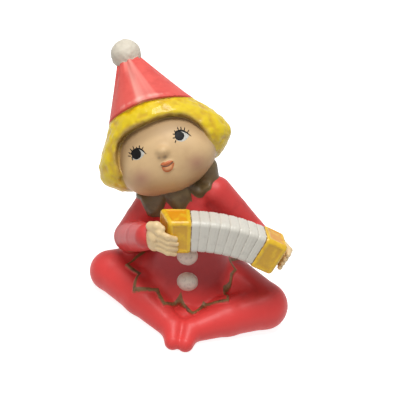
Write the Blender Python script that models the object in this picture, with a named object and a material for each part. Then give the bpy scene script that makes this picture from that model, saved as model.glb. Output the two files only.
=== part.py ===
"""Seated elf figurine in painted, slip-cast ceramic, with a small accordion across its lap.

The real object is one fired casting, so the part is one solid: every form of the sculpture is made as its own
closed mesh, and the forms are then fused, softened and ground flat underneath, as the casting was.

Frame: +Z up, the figurine faces -Y, and +X is the viewer's right. The origin is on the resting plane, under
the middle of the seat. Lengths are in metres, angles in degrees.
"""

import math

import bmesh
import bpy
from mathutils import Matrix, Vector
from mathutils.bvhtree import BVHTree

MM = 0.001

# Legs, folded with the soles together. Right and left are the figurine's own, so its right side is at -X.
RIGHT_KNEE_REACH = 41.6 * MM
RIGHT_KNEE_FORWARD = 6.0 * MM
RIGHT_KNEE_RADIUS = 10.4 * MM
LEFT_KNEE_REACH = 39.4 * MM
LEFT_KNEE_FORWARD = 15.0 * MM
LEFT_KNEE_RADIUS = 12.0 * MM
HIP_SPREAD = 12.0 * MM
HIP_BACK = 7.0 * MM
HIP_RADIUS = 13.5 * MM
CALF_RADIUS = 9.2 * MM
ANKLE_SPREAD = 4.2 * MM
ANKLE_FORWARD = 38.0 * MM
ANKLE_RADIUS = 5.8 * MM
TOE_SPREAD = 3.1 * MM
TOE_FORWARD = 46.0 * MM
TOE_RADIUS = 4.1 * MM
LAP_WIDTH = 56.0 * MM
LAP_DEPTH = 42.0 * MM
LAP_FORWARD = 8.5 * MM
LAP_HEIGHT = 15.5 * MM
GROUND_OFF = 0.8 * MM

# Torso: level sections up a spine that bends towards the figurine's right.
SEAT_WIDTH = 46.0 * MM
SEAT_DEPTH = 42.0 * MM
BELLY_WIDTH = 41.0 * MM
BELLY_DEPTH = 39.0 * MM
BELLY_HEIGHT = 24.0 * MM
CHEST_WIDTH = 35.0 * MM
CHEST_DEPTH = 30.0 * MM
CHEST_HEIGHT = 50.0 * MM
NECK_WIDTH = 16.0 * MM
NECK_HEIGHT = 64.0 * MM
SPINE_SHIFT = -14.0 * MM

# Tunic skirt and collar: cloth laid over the forms below it, with a pointed edge.
CLOTH = 1.5 * MM
CLOTH_SAG = 1.6
CLOTH_EVENING = 60
SKIRT_POINTS = 12
SKIRT_TOP_HEIGHT = 30.0 * MM
SKIRT_HEM_HEIGHT = 2.0 * MM
SKIRT_WIDTH = 60.0 * MM
SKIRT_DEPTH = 58.0 * MM
SKIRT_MIDDLE = Vector((-4.0, -4.0, 0.0)) * MM
SKIRT_SQUARENESS = 3.3
SKIRT_TOOTH = 7.5 * MM
SKIRT_FIRST_POINT = -73.0
COLLAR_POINTS = 11
COLLAR_RADIUS = 22.0 * MM
COLLAR_TOOTH = 4.5 * MM
COLLAR_SQUARENESS = 2.0
COLLAR_RISE = 7.0 * MM
COLLAR_FALL = 5.0 * MM
COLLAR_SIDE_TILT = -23.0
COLLAR_FIRST_POINT = -84.0
COLLAR_CLEARANCE = 60.0 * MM
BUTTON_RADIUS = 5.0 * MM
BUTTON_PROUD = 1.8 * MM
BUTTON_HEIGHTS = (22.5 * MM, 35.5 * MM)

# Head, in its own frame: X to the viewer's right, Y to the back, Z to the crown.
HEAD_WIDTH = 49.0 * MM
HEAD_DEPTH = 42.0 * MM
HEAD_HEIGHT = 41.0 * MM
HEAD_ABOVE_NECK = 16.6 * MM
HEAD_BACK_TILT = -30.0
HEAD_SIDE_TILT = -32.0
NOSE_RADIUS = 2.6 * MM
LIP_WIDTH = 6.2 * MM
CHEEK_RADIUS = 12.0 * MM
CHIN_RADIUS = 9.0 * MM
HAIR_FLARE_WIDTH = 70.0 * MM
HAIR_CROWN_WIDTH = 41.0 * MM
HAIR_CROWN_HEIGHT = 24.0 * MM
HAIR_HEM_DROP = 11.5 * MM
HAIR_BACK_SHARE = 0.84
HAIR_SET_BACK = 1.5 * MM
FRINGE_TOP = 15.5 * MM
OPENING_HALF_HEIGHT = 22.0 * MM
OPENING_FLOOR = 8.5 * MM
HAT_LEAN = -10.0
HAT_LENGTH = 26.0 * MM
HAT_TIP_WIDTH = 12.0 * MM
POMPOM_RADIUS = 7.6 * MM

# Accordion, in its own frame: X along its arched axis, Y to the back, Z up.
ACCORDION_X = 12.6 * MM
ACCORDION_FORWARD = 23.5 * MM
ACCORDION_HEIGHT = 54.5 * MM
ACCORDION_YAW = 8.0
ACCORDION_DROOP = 7.0
ACCORDION_LEAN = -5.0
ARCH_ANGLE = 27.0
BELLOWS_LENGTH = 35.0 * MM
BELLOWS_TALL = 16.4 * MM
BELLOWS_DEEP = 14.6 * MM
PLEATS = 8
PLEAT_GROOVE = 1.0 * MM
BOX_TALL = 17.4 * MM
BOX_DEEP = 15.6 * MM
RIGHT_HAND_BOX_LENGTH = 13.0 * MM
LEFT_HAND_BOX_LENGTH = 12.0 * MM
BOX_EDGE = 1.2 * MM

# Arms in full sleeves, and the two hands on the accordion's end boxes.
SHOULDER_RADIUS = 9.0 * MM
NECK_FOOT = Vector((SPINE_SHIFT, 0.0, NECK_HEIGHT))
RIGHT_SHOULDER = NECK_FOOT + Vector((-11.0, 1.0, -13.5)) * MM
RIGHT_ELBOW = RIGHT_SHOULDER + Vector((-9.0, -5.0, -19.0)) * MM
LEFT_SHOULDER = NECK_FOOT + Vector((17.5, 1.0, -2.5)) * MM
LEFT_ELBOW = LEFT_SHOULDER + Vector((21.5, -1.0, -17.0)) * MM
ELBOW_RADIUS = 8.6 * MM
CUFF_RADIUS = 6.4 * MM
PALM_RADIUS = 5.6 * MM
FINGER_RADIUS = 1.75 * MM
FINGERS = 4
FINGER_LENGTH = 5.0 * MM

# Fineness of the fused surface, softening passes for each part of it, and the share of faces that is kept.
VOXEL = 0.6 * MM
SOFTENING = {"legs": 6, "suit": 5, "collar": 2, "buttons": 2, "face": 36, "features": 2, "hair": 6, "hat": 2,
             "bellows": 0, "boxes": 0, "hands": 2}
SOFTEN_STEPS = 2
KEPT_FACES = 12250


def new_object(name, bm):
    """Turns a finished bmesh into an object, with its faces pointing out."""
    bmesh.ops.recalc_face_normals(bm, faces=bm.faces)
    mesh = bpy.data.meshes.new(name)
    bm.to_mesh(mesh)
    bm.free()
    obj = bpy.data.objects.new(name, mesh)
    bpy.context.scene.collection.objects.link(obj)
    return obj


def rotation(x=0.0, y=0.0, z=0.0):
    """A turn about Y first, then X, then Z."""
    turn_x = Matrix.Rotation(math.radians(x), 4, "X")
    turn_y = Matrix.Rotation(math.radians(y), 4, "Y")
    return Matrix.Rotation(math.radians(z), 4, "Z") @ turn_x @ turn_y


def ball(name, centre, radii, frame=None):
    """An ellipsoid at a point of the given frame, with its radii along the frame's axes."""
    bm = bmesh.new()
    place = (frame or Matrix()) @ Matrix.Translation(centre) @ Matrix.Diagonal((*radii, 1.0))
    bmesh.ops.create_uvsphere(bm, u_segments=40, v_segments=24, radius=1.0, matrix=place)
    return new_object(name, bm)


def loft(name, rings):
    """A closed skin through rings with the same number of points, with a flat face on each end."""
    bm = bmesh.new()
    rows = [[bm.verts.new(point) for point in ring] for ring in rings]
    for low, high in zip(rows, rows[1:]):
        for i in range(len(low)):
            j = (i + 1) % len(low)
            bm.faces.new((low[i], low[j], high[j], high[i]))
    bm.faces.new(rows[0])
    bm.faces.new(rows[-1])
    return new_object(name, bm)


def ellipse(centre, half_x, half_y, sides=48):
    """Points of a level ellipse, anticlockwise from +X."""
    turns = (2 * math.pi * i / sides for i in range(sides))
    return [centre + Vector((half_x * math.cos(t), half_y * math.sin(t), 0.0)) for t in turns]


def catmull(points, share):
    """The point at this share, 0 to 1, of a smooth curve through the given points."""
    spans = len(points) - 1
    span = min(int(share * spans), spans - 1)
    t = share * spans - span
    p0, p1 = points[max(span - 1, 0)], points[span]
    p2, p3 = points[span + 1], points[min(span + 2, spans)]
    curve = 2 * p1 + (p2 - p0) * t + (2 * p0 - 5 * p1 + 4 * p2 - p3) * t * t
    return 0.5 * (curve + (3 * p1 - p0 - 3 * p2 + p3) * t * t * t)


def limb(name, points, radii, sides=24, steps=18, cap_rings=5):
    """A round-ended tube along a smooth curve through the points, with a radius at each of them."""
    stations = [i / steps for i in range(steps + 1)]
    centres = [catmull([Vector(p) for p in points], s) for s in stations]
    thick = [catmull([Vector((r, 0.0, 0.0)) for r in radii], s).x for s in stations]
    tangents = [
        (centres[min(i + 1, steps)] - centres[max(i - 1, 0)]).normalized() for i in range(steps + 1)
    ]
    rounding = [math.pi / 2 * i / cap_rings for i in range(1, cap_rings)]
    start = [(centres[0] - tangents[0] * thick[0] * math.sin(a), tangents[0], thick[0] * math.cos(a))
             for a in reversed(rounding)]
    end = [(centres[-1] + tangents[-1] * thick[-1] * math.sin(a), tangents[-1], thick[-1] * math.cos(a))
           for a in rounding]
    stations = start + list(zip(centres, tangents, thick)) + end
    side = tangents[0].orthogonal().normalized()
    rings = []
    for centre, tangent, radius in stations:
        side = (side - tangent * side.dot(tangent)).normalized()
        across = tangent.cross(side)
        turns = [2 * math.pi * i / sides for i in range(sides)]
        rings.append([centre + radius * (side * math.cos(t) + across * math.sin(t)) for t in turns])
    return loft(name, rings)


def rounded_rectangle(frame, x, half_y, half_z, corner, corner_points=5):
    """Points of a rectangle with round corners, across the X axis of the frame."""
    points = []
    for quarter in range(4):
        sign_y = 1 if quarter in (0, 3) else -1
        sign_z = 1 if quarter in (0, 1) else -1
        for i in range(corner_points):
            t = math.pi / 2 * (quarter + i / (corner_points - 1))
            y = sign_y * (half_y - corner) + corner * math.cos(t)
            z = sign_z * (half_z - corner) + corner * math.sin(t)
            points.append(frame @ Vector((x, y, z)))
    return points


def evaluated_mesh(obj):
    """The object's mesh with its modifiers applied."""
    graph = bpy.context.evaluated_depsgraph_get()
    return bpy.data.meshes.new_from_object(obj.evaluated_get(graph))


def joined(name, objects):
    """One object that holds the meshes of several, which are removed."""
    bm = bmesh.new()
    for obj in objects:
        mesh = evaluated_mesh(obj)
        bm.from_mesh(mesh)
        bpy.data.meshes.remove(mesh)
        bpy.data.objects.remove(obj)
    mesh = bpy.data.meshes.new(name)
    bm.to_mesh(mesh)
    bm.free()
    result = bpy.data.objects.new(name, mesh)
    bpy.context.scene.collection.objects.link(result)
    return result


def cut(obj, cutter):
    """Takes the cutter away from the object with an exact Boolean, and hides the cutter."""
    cutter.hide_render = True
    cutter.display_type = "WIRE"
    modifier = obj.modifiers.new("cut_" + cutter.name, "BOOLEAN")
    modifier.operation = "DIFFERENCE"
    modifier.object = cutter


def support_of(objects):
    """A search tree over the meshes that a cloth lies on."""
    points, faces = [], []
    for obj in objects:
        start = len(points)
        points += [v.co.copy() for v in obj.data.vertices]
        faces += [[start + i for i in polygon.vertices] for polygon in obj.data.polygons]
    return BVHTree.FromPolygons(points, faces)


def tooth(angle, points, first_point):
    """A triangle wave round the edge: 1 at each point of the cloth, 0 half way between two points."""
    phase = (angle - first_point) / 360.0 * points
    return abs(2 * (phase - math.floor(phase)) - 1)


def polar_radius(turn, half_x, half_y, squareness=2.0):
    """The distance from an oval's middle to its edge, in one direction; a squareness of 2 is an ellipse."""
    across = abs(math.cos(turn) / half_x) ** squareness
    along = abs(math.sin(turn) / half_y) ** squareness
    return (across + along) ** (-1 / squareness)


def draped_cape(name, frame, supports, inner, outer, rise, fall, sky, squareness, points, first_point,
                tooth_length, floor):
    """Cloth that lies on the supports below it, as a solid.

    In the frame, a radial line at each angle runs from the inner ellipse, at the height rise, to the pointed
    edge, at the height -fall. The cloth is the higher of that sagging line and of what it finds below the height
    sky, evened out between neighbours as cloth is, and stands CLOTH above what it lies on. Its underside is
    inside the forms below, down to the floor height where one is given, so that no hollow is left under it.
    """
    tree = support_of(supports)
    back = frame.inverted()
    down = frame.to_3x3() @ Vector((0.0, 0.0, -1.0))
    sides, rows = points * 10, 18
    spots, under = [], []
    for j in range(rows + 1):
        share = j / rows
        for i in range(sides):
            angle = 360.0 * i / sides
            turn = math.radians(angle)
            start = polar_radius(turn, *inner)
            hem = polar_radius(turn, *outer, squareness)
            end = hem - (1 - tooth(angle, points, first_point)) * tooth_length
            reach = start + (end - start) * share
            spot = Vector((math.cos(turn) * reach, math.sin(turn) * reach, sky))
            hit = tree.ray_cast(frame @ spot, down)[0]
            spread = (reach - start) / (hem - start)
            sag = rise - (rise + fall) * (1 - (1 - spread) ** CLOTH_SAG)
            spots.append(spot)
            under.append(max((back @ hit).z, sag - CLOTH) if hit else sag - CLOTH)
    heights = [low + CLOTH for low in under]
    for _ in range(CLOTH_EVENING):
        evened = list(heights)
        for j in range(rows + 1):
            for i in range(sides):
                around = [heights[j * sides + (i + 1) % sides], heights[j * sides + i - 1]]
                around.append(heights[min(j + 1, rows) * sides + i])
                around.append(heights[max(j - 1, 0) * sides + i])
                mean = sum(around) / 4
                evened[j * sides + i] = max(mean, under[j * sides + i] + CLOTH * 0.7)
        heights = evened
    upper, lower = [], []
    for j in range(rows + 1):
        ring = range(j * sides, (j + 1) * sides)
        upper.append([frame @ Vector((spots[k].x, spots[k].y, heights[k])) for k in ring])
        thick = 3.5 * CLOTH if floor is None else 2 * CLOTH
        unders = [min(heights[k] - thick, heights[k] if floor is None else floor) for k in ring]
        lower.append([frame @ Vector((spots[k].x, spots[k].y, unders[k - ring[0]])) for k in ring])
    return loft(name, lower + list(reversed(upper)))


def legs():
    """Two folded legs, thigh out to the knee and shin back to the feet, with the lap filled between them."""
    forms = []
    knees = (
        ("right", -1, RIGHT_KNEE_REACH, RIGHT_KNEE_FORWARD, RIGHT_KNEE_RADIUS),
        ("left", 1, LEFT_KNEE_REACH, LEFT_KNEE_FORWARD, LEFT_KNEE_RADIUS),
    )
    for name, side, reach, forward, radius in knees:
        hip = Vector((side * HIP_SPREAD, HIP_BACK, HIP_RADIUS - GROUND_OFF))
        knee = Vector((side * reach, -forward, radius - GROUND_OFF))
        ankle = Vector((side * ANKLE_SPREAD, -ANKLE_FORWARD, ANKLE_RADIUS - GROUND_OFF))
        toe = Vector((side * TOE_SPREAD, -TOE_FORWARD, TOE_RADIUS - GROUND_OFF))
        calf = knee.lerp(ankle, 0.5)
        calf.z = CALF_RADIUS - GROUND_OFF
        forms.append(limb(name + "_thigh", (hip, hip.lerp(knee, 0.5), knee),
                          (HIP_RADIUS, (HIP_RADIUS + radius) / 2, radius)))
        forms.append(limb(name + "_shin", (knee, calf, ankle, toe),
                          (radius, CALF_RADIUS, ANKLE_RADIUS, TOE_RADIUS)))
    lap_at = Vector((0.0, -LAP_FORWARD, -GROUND_OFF))
    forms.append(ball("lap", lap_at, (LAP_WIDTH / 2, LAP_DEPTH / 2, LAP_HEIGHT + GROUND_OFF)))
    web_at = Vector((0.0, -ANKLE_FORWARD * 0.76, -GROUND_OFF))
    forms.append(ball("web", web_at, (ANKLE_RADIUS * 1.8, ANKLE_RADIUS * 1.5, ANKLE_RADIUS * 2.0)))
    return forms


def spine(height):
    """The middle of the torso at a height: it stands over the seat, then bends to the figurine's right."""
    share = max(0.0, height / NECK_HEIGHT)
    return Vector((SPINE_SHIFT * share ** 2.2, 0.0, height))


def torso():
    """The body under the tunic, from the seat to the neck."""
    sections = (
        (0.0, SEAT_WIDTH, SEAT_DEPTH),
        (BELLY_HEIGHT * 0.5, SEAT_WIDTH, SEAT_DEPTH),
        (BELLY_HEIGHT, BELLY_WIDTH, BELLY_DEPTH),
        ((BELLY_HEIGHT + CHEST_HEIGHT) / 2, (BELLY_WIDTH + CHEST_WIDTH) / 2, (BELLY_DEPTH + CHEST_DEPTH) / 2),
        (CHEST_HEIGHT, CHEST_WIDTH, CHEST_DEPTH),
        (CHEST_HEIGHT + (NECK_HEIGHT - CHEST_HEIGHT) * 0.6, CHEST_WIDTH * 0.78, CHEST_DEPTH * 0.76),
        (NECK_HEIGHT, NECK_WIDTH * 1.15, NECK_WIDTH * 1.1),
        (NECK_HEIGHT + HEAD_ABOVE_NECK * 0.5, NECK_WIDTH, NECK_WIDTH),
    )
    steps = 24
    outline = [Vector(section) for section in sections]
    sampled = [catmull(outline, i / steps) for i in range(steps + 1)]
    return loft("torso", [ellipse(spine(p.x), p.y / 2, p.z / 2) for p in sampled])


def buttons(body):
    """Two flattened balls on the front of the belly."""
    tree = support_of([body])
    forms = []
    for number, height in enumerate(BUTTON_HEIGHTS):
        start = spine(height) + Vector((0.0, -SEAT_DEPTH, 0.0))
        spot, normal = tree.ray_cast(start, Vector((0.0, 1.0, 0.0)))[:2]
        frame = Matrix.Translation(spot) @ normal.to_track_quat("Z", "Y").to_matrix().to_4x4()
        radii = (BUTTON_RADIUS, BUTTON_RADIUS, BUTTON_PROUD * 2)
        forms.append(ball(f"button_{number + 1}", Vector(), radii, frame))
    return forms


def head_frame():
    """The head's own frame, with its origin at the middle of the head."""
    turn = rotation(x=HEAD_BACK_TILT, y=HEAD_SIDE_TILT)
    up = turn.to_3x3() @ Vector((0.0, 0.0, 1.0))
    return Matrix.Translation(spine(NECK_HEIGHT) + up * HEAD_ABOVE_NECK) @ turn


def face(frame):
    """The head itself with its cheeks, nose and lips."""
    half_depth = HEAD_DEPTH / 2
    skull = ball("head", Vector(), (HEAD_WIDTH / 2, half_depth, HEAD_HEIGHT / 2), frame)
    nose = ball("nose", Vector((0.0, -half_depth * 0.99, 0.3 * MM)), (NOSE_RADIUS,) * 3, frame)
    chin = ball("chin", Vector((0.0, -half_depth * 0.38, -HEAD_HEIGHT * 0.24)), (CHIN_RADIUS,) * 3, frame)
    forms = [skull, chin]
    features = [nose]
    for name, side in (("right", -1), ("left", 1)):
        cheek = Vector((side * HEAD_WIDTH * 0.225, -half_depth * 0.34, -HEAD_HEIGHT * 0.13))
        radii = (CHEEK_RADIUS, CHEEK_RADIUS * 0.9, CHEEK_RADIUS * 0.92)
        forms.append(ball(name + "_cheek", cheek, radii, frame))
    for name, drop, tall in (("upper_lip", 6.2 * MM, 1.0 * MM), ("lower_lip", 8.4 * MM, 1.3 * MM)):
        spot = Vector((-0.3 * MM, -half_depth * math.sqrt(1 - (2 * drop / HEAD_HEIGHT) ** 2), -drop))
        features.append(ball(name, spot, (LIP_WIDTH / 2, 1.5 * MM, tall), frame))
    return forms, features


def hair(frame):
    """A bobbed wig: a bell round the head, open in front of the face, with a rolled fringe above it."""
    flare, crown = HAIR_FLARE_WIDTH / 2, HAIR_CROWN_WIDTH / 2
    profile = (
        (-HAIR_HEM_DROP, HEAD_WIDTH / 2 * 0.85, 0.5),
        (-HAIR_HEM_DROP * 0.95, HEAD_WIDTH / 2 * 0.98, 0.5),
        (-HAIR_HEM_DROP * 0.55, flare * 0.88, 0.53),
        (-HAIR_HEM_DROP * 0.25, flare * 0.98, 0.56),
        (0.0, flare, 0.59),
        (HAIR_CROWN_HEIGHT * 0.25, flare * 0.955, 0.65),
        (HAIR_CROWN_HEIGHT * 0.5, (flare + crown) / 2 * 1.06, 0.74),
        (HAIR_CROWN_HEIGHT * 0.8, crown * 1.16, 0.84),
        (HAIR_CROWN_HEIGHT * 0.95, crown * 1.04, 0.86),
        (HAIR_CROWN_HEIGHT, crown * 0.97, 0.86),
        (HAIR_CROWN_HEIGHT * 1.12, crown * 0.85, 0.86),
    )
    rings = []
    for height, half, front_share in profile:
        ring = ellipse(Vector((0.0, 0.0, height)), half, half, 64)
        for point in ring:
            point.y = HAIR_SET_BACK + point.y * (front_share if point.y < 0 else HAIR_BACK_SHARE)
        rings.append([frame @ point for point in ring])
    wig = loft("hair", rings)
    middle = FRINGE_TOP - OPENING_HALF_HEIGHT
    opening_frame = frame @ Matrix.Translation((0.0, 0.0, middle)) @ rotation(x=90.0)
    half_x, half_z = HEAD_WIDTH / 2, OPENING_HALF_HEIGHT
    depths = (OPENING_FLOOR, HEAD_DEPTH * 1.2)
    opening = loft("face_opening", [
        [opening_frame @ point for point in ellipse(Vector((0.0, 0.0, depth)), half_x, half_z, 64)]
        for depth in depths
    ])
    cut(wig, opening)
    return wig, opening


def hat(frame):
    """A straight cone on the crown of the hair, and the pompom on its tip."""
    lean = frame @ Matrix.Translation((0.0, HAIR_SET_BACK, HAIR_CROWN_HEIGHT)) @ rotation(x=HAT_LEAN)
    base, tip = HAIR_CROWN_WIDTH / 2, HAT_TIP_WIDTH / 2
    rings = []
    for height, half in ((-6 * MM, base * 1.1), (0.0, base), (HAT_LENGTH, tip)):
        rings.append([lean @ point for point in ellipse(Vector((0.0, 0.0, height)), half, half * 0.86)])
    cone = loft("hat", rings)
    pompom = ball("pompom", Vector((0.0, 0.0, HAT_LENGTH + POMPOM_RADIUS * 0.62)), (POMPOM_RADIUS,) * 3, lean)
    return [cone, pompom]


def collar(supports):
    """A pointed collar that lies on the shoulders."""
    frame = Matrix.Translation(spine(NECK_HEIGHT)) @ rotation(y=COLLAR_SIDE_TILT)
    inner = (NECK_WIDTH / 2, NECK_WIDTH / 2)
    outer = (COLLAR_RADIUS, COLLAR_RADIUS)
    return draped_cape("collar", frame, supports, inner, outer, COLLAR_RISE, COLLAR_FALL, COLLAR_CLEARANCE,
                       COLLAR_SQUARENESS, COLLAR_POINTS, COLLAR_FIRST_POINT, COLLAR_TOOTH, None)


def skirt(supports):
    """The tunic's pointed skirt, spread over the thighs and the feet."""
    frame = Matrix.Translation(SKIRT_MIDDLE)
    inner = (BELLY_WIDTH / 2 - 3 * MM, BELLY_DEPTH / 2 - 5 * MM)
    outer = (SKIRT_WIDTH / 2, SKIRT_DEPTH / 2)
    return draped_cape("skirt", frame, supports, inner, outer, SKIRT_TOP_HEIGHT, -SKIRT_HEM_HEIGHT,
                       SKIRT_TOP_HEIGHT, SKIRT_SQUARENESS, SKIRT_POINTS, SKIRT_FIRST_POINT, SKIRT_TOOTH,
                       CALF_RADIUS)


def arch_frame(distance):
    """The accordion's frame at a distance along its arched axis, measured from the middle."""
    turn = rotation(x=ACCORDION_LEAN, y=ACCORDION_DROOP, z=ACCORDION_YAW)
    centre = Matrix.Translation((ACCORDION_X, -ACCORDION_FORWARD, ACCORDION_HEIGHT)) @ turn
    radius = BELLOWS_LENGTH / math.radians(ARCH_ANGLE)
    reach = max(-BELLOWS_LENGTH / 2, min(BELLOWS_LENGTH / 2, distance))
    around = Matrix.Rotation(reach / radius, 4, "Y")
    pivot = Matrix.Translation((0.0, 0.0, -radius))
    return centre @ pivot @ around @ pivot.inverted() @ Matrix.Translation((distance - reach, 0.0, 0.0))


def bellows():
    """The folded middle of the accordion: a row of pleats along the arch."""
    rings = []
    for pleat in range(PLEATS):
        start = BELLOWS_LENGTH * (pleat / PLEATS - 0.5)
        for share, groove in ((0.0, PLEAT_GROOVE), (0.22, 0.0), (0.8, 0.0)):
            frame = arch_frame(start + share * BELLOWS_LENGTH / PLEATS)
            half_y, half_z = BELLOWS_DEEP / 2 - groove, BELLOWS_TALL / 2 - groove
            rings.append(rounded_rectangle(frame, 0.0, half_y, half_z, 1.5 * MM))
    return loft("bellows", rings)


def end_box(name, side, length):
    """One wooden end of the accordion, a box with eased edges and a raised frame round its front."""
    seam = side * (BELLOWS_LENGTH / 2 - PLEAT_GROOVE)
    frame = arch_frame(seam)
    half_y, half_z = BOX_DEEP / 2, BOX_TALL / 2
    rings = []
    for along, shrink in ((0.0, BOX_EDGE), (BOX_EDGE, 0.0), (length - BOX_EDGE, 0.0), (length, BOX_EDGE)):
        x = side * along
        rings.append(rounded_rectangle(frame, x, half_y - shrink, half_z - shrink, 1.4 * MM))
    return loft(name, rings)


def gripping_hand(name, side, box_length):
    """A small hand that grips an end box: a palm on the box's end, fingers on its front, a thumb on top."""
    frame = arch_frame(side * BELLOWS_LENGTH / 2) @ Matrix.Translation((side * box_length, 0.0, 0.0))
    front = -BOX_DEEP / 2
    palm_at = Vector((side * PALM_RADIUS * 0.45, front * 0.42, -2.6 * MM))
    forms = [ball(name + "_palm", palm_at, (PALM_RADIUS, PALM_RADIUS * 1.15, PALM_RADIUS * 1.1), frame)]
    for number in range(FINGERS):
        height = 0.8 * MM - number * FINGER_RADIUS * 1.6
        length = FINGER_LENGTH * (1.0 - 0.1 * abs(number - 1.2))
        path = (
            Vector((side * PALM_RADIUS * 0.8, front * 0.7, height - 0.3 * MM)),
            Vector((side * 1.8 * MM, front - FINGER_RADIUS * 0.35, height)),
            Vector((-side * length * 0.5, front - FINGER_RADIUS * 0.7, height - 0.5 * MM)),
            Vector((-side * length, front - FINGER_RADIUS * 0.2, height - 1.4 * MM)),
        )
        radii = (FINGER_RADIUS * 1.15, FINGER_RADIUS * 1.1, FINGER_RADIUS, FINGER_RADIUS * 0.85)
        forms.append(limb(f"{name}_finger_{number + 1}", [frame @ p for p in path], radii, 12, 10, 4))
    thumb = (
        Vector((side * PALM_RADIUS * 0.7, front * 0.5, 1.0 * MM)),
        Vector((side * 1.2 * MM, front * 0.6, 4.0 * MM)),
        Vector((-side * 0.8 * MM, front * 0.75, 6.0 * MM)),
    )
    forms.append(limb(name + "_thumb", [frame @ p for p in thumb],
                      (FINGER_RADIUS * 1.3, FINGER_RADIUS * 1.15, FINGER_RADIUS), 12, 8, 4))
    return forms, frame @ Vector((side * PALM_RADIUS * 1.2, front * 0.1, -2.6 * MM))


def far_hand(name, side, box_length):
    """The other hand, which holds its box from behind: a palm and curled fingers past the box's end."""
    frame = arch_frame(side * BELLOWS_LENGTH / 2) @ Matrix.Translation((side * box_length, 0.0, 0.0))
    back = BOX_DEEP / 2
    palm_at = Vector((side * 1.0 * MM, back * 0.4, -2.6 * MM))
    forms = [ball(name + "_palm", palm_at, (PALM_RADIUS * 0.85, PALM_RADIUS, PALM_RADIUS), frame)]
    for number in range(FINGERS):
        height = 0.4 * MM - number * FINGER_RADIUS * 1.5
        path = (
            Vector((0.0, back * 0.7, height)),
            Vector((side * 3.0 * MM, back * 0.1, height)),
            Vector((side * 1.6 * MM, -back * 0.45, height - 0.5 * MM)),
        )
        radii = (FINGER_RADIUS * 1.1, FINGER_RADIUS, FINGER_RADIUS * 0.85)
        forms.append(limb(f"{name}_finger_{number + 1}", [frame @ p for p in path], radii, 12, 10, 4))
    return forms, frame @ Vector((-side * 3.0 * MM, back * 1.1, -3.0 * MM))


def sleeve(name, shoulder, elbow, wrist):
    """A full sleeve from the shoulder over the elbow to the wrist."""
    upper = shoulder.lerp(elbow, 0.5)
    lower = elbow.lerp(wrist, 0.6)
    return limb(name, (shoulder, upper, elbow, lower, wrist),
                (SHOULDER_RADIUS, (SHOULDER_RADIUS + ELBOW_RADIUS) / 2, ELBOW_RADIUS,
                 (ELBOW_RADIUS + CUFF_RADIUS) / 2, CUFF_RADIUS))


def sculpture():
    """Every form of the figurine, by the part of it that they make up."""
    body = torso()
    leg_forms = legs()
    right_hand, right_wrist = gripping_hand("right_hand", -1, RIGHT_HAND_BOX_LENGTH)
    left_hand, left_wrist = far_hand("left_hand", 1, LEFT_HAND_BOX_LENGTH)
    right_sleeve = sleeve("right_sleeve", RIGHT_SHOULDER, RIGHT_ELBOW, right_wrist)
    left_sleeve = sleeve("left_sleeve", LEFT_SHOULDER, LEFT_ELBOW, left_wrist)
    frame = head_frame()
    wig, opening = hair(frame)
    face_forms, features = face(frame)
    groups = {
        "legs": leg_forms,
        "suit": [body, right_sleeve, left_sleeve, skirt([body, *leg_forms])],
        "collar": [collar([body, right_sleeve, left_sleeve])],
        "buttons": buttons(body),
        "face": face_forms,
        "features": features,
        "hair": [wig],
        "hat": hat(frame),
        "bellows": [bellows()],
        "boxes": [end_box("right_hand_box", -1, RIGHT_HAND_BOX_LENGTH),
                  end_box("left_hand_box", 1, LEFT_HAND_BOX_LENGTH)],
        "hands": right_hand + left_hand,
    }
    return groups, opening


def skinned(name, objects, steps):
    """The objects as one mesh with a single skin, softened by the given number of passes."""
    merged = joined(name, objects)
    skin = merged.modifiers.new("one_skin", "REMESH")
    skin.mode = "VOXEL"
    skin.voxel_size = VOXEL
    if steps:
        soften = merged.modifiers.new("soften", "SMOOTH")
        soften.factor = 0.5
        soften.iterations = steps
    return merged


def outer_skin(obj):
    """Keeps only the largest connected skin of the object, so that no sealed hollow stays inside it."""
    mesh = evaluated_mesh(obj)
    obj.modifiers.clear()
    bm = bmesh.new()
    bm.from_mesh(mesh)
    seen, largest = set(), []
    for start in bm.verts:
        if start in seen:
            continue
        island, front = [start], [start]
        seen.add(start)
        while front:
            vertex = front.pop()
            for edge in vertex.link_edges:
                other = edge.other_vert(vertex)
                if other not in seen:
                    seen.add(other)
                    island.append(other)
                    front.append(other)
        if len(island) > len(largest):
            largest = island
    kept = set(largest)
    bmesh.ops.delete(bm, geom=[v for v in bm.verts if v not in kept], context="VERTS")
    bm.to_mesh(obj.data)
    bm.free()
    bpy.data.meshes.remove(mesh)


def fuse(groups, opening):
    """One casting from all the forms: fused, softened, thinned out and ground flat on Z = 0."""
    parts = [skinned(name, forms, SOFTENING[name]) for name, forms in groups.items()]
    figurine = skinned("figurine", parts, SOFTEN_STEPS)
    bpy.data.objects.remove(opening)
    outer_skin(figurine)
    thin = figurine.modifiers.new("thin_out", "DECIMATE")
    thin.ratio = KEPT_FACES / (2 * len(figurine.data.polygons))
    low, high = Vector((-0.1, -0.1, -0.05)), Vector((0.1, 0.1, 0.0))
    block = Matrix.Translation((low + high) / 2) @ Matrix.Diagonal((*(high - low), 1.0))
    bm = bmesh.new()
    bmesh.ops.create_cube(bm, size=1.0, matrix=block)
    cut(figurine, new_object("grinding_block", bm))
    for polygon in figurine.data.polygons:
        polygon.use_smooth = True
    return figurine


def glaze(figurine):
    """The painted, satin ceramic finish."""
    material = bpy.data.materials.new("painted_ceramic")
    material.use_nodes = True
    shader = material.node_tree.nodes["Principled BSDF"]
    shader.inputs["Base Color"].default_value = (0.62, 0.05, 0.045, 1.0)
    shader.inputs["Roughness"].default_value = 0.42
    shader.inputs["Metallic"].default_value = 0.0
    figurine.data.materials.append(material)


def main():
    for obj in list(bpy.data.objects):
        bpy.data.objects.remove(obj)
    figurine = fuse(*sculpture())
    glaze(figurine)
    return figurine


if __name__ == "__main__":
    main()
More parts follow.
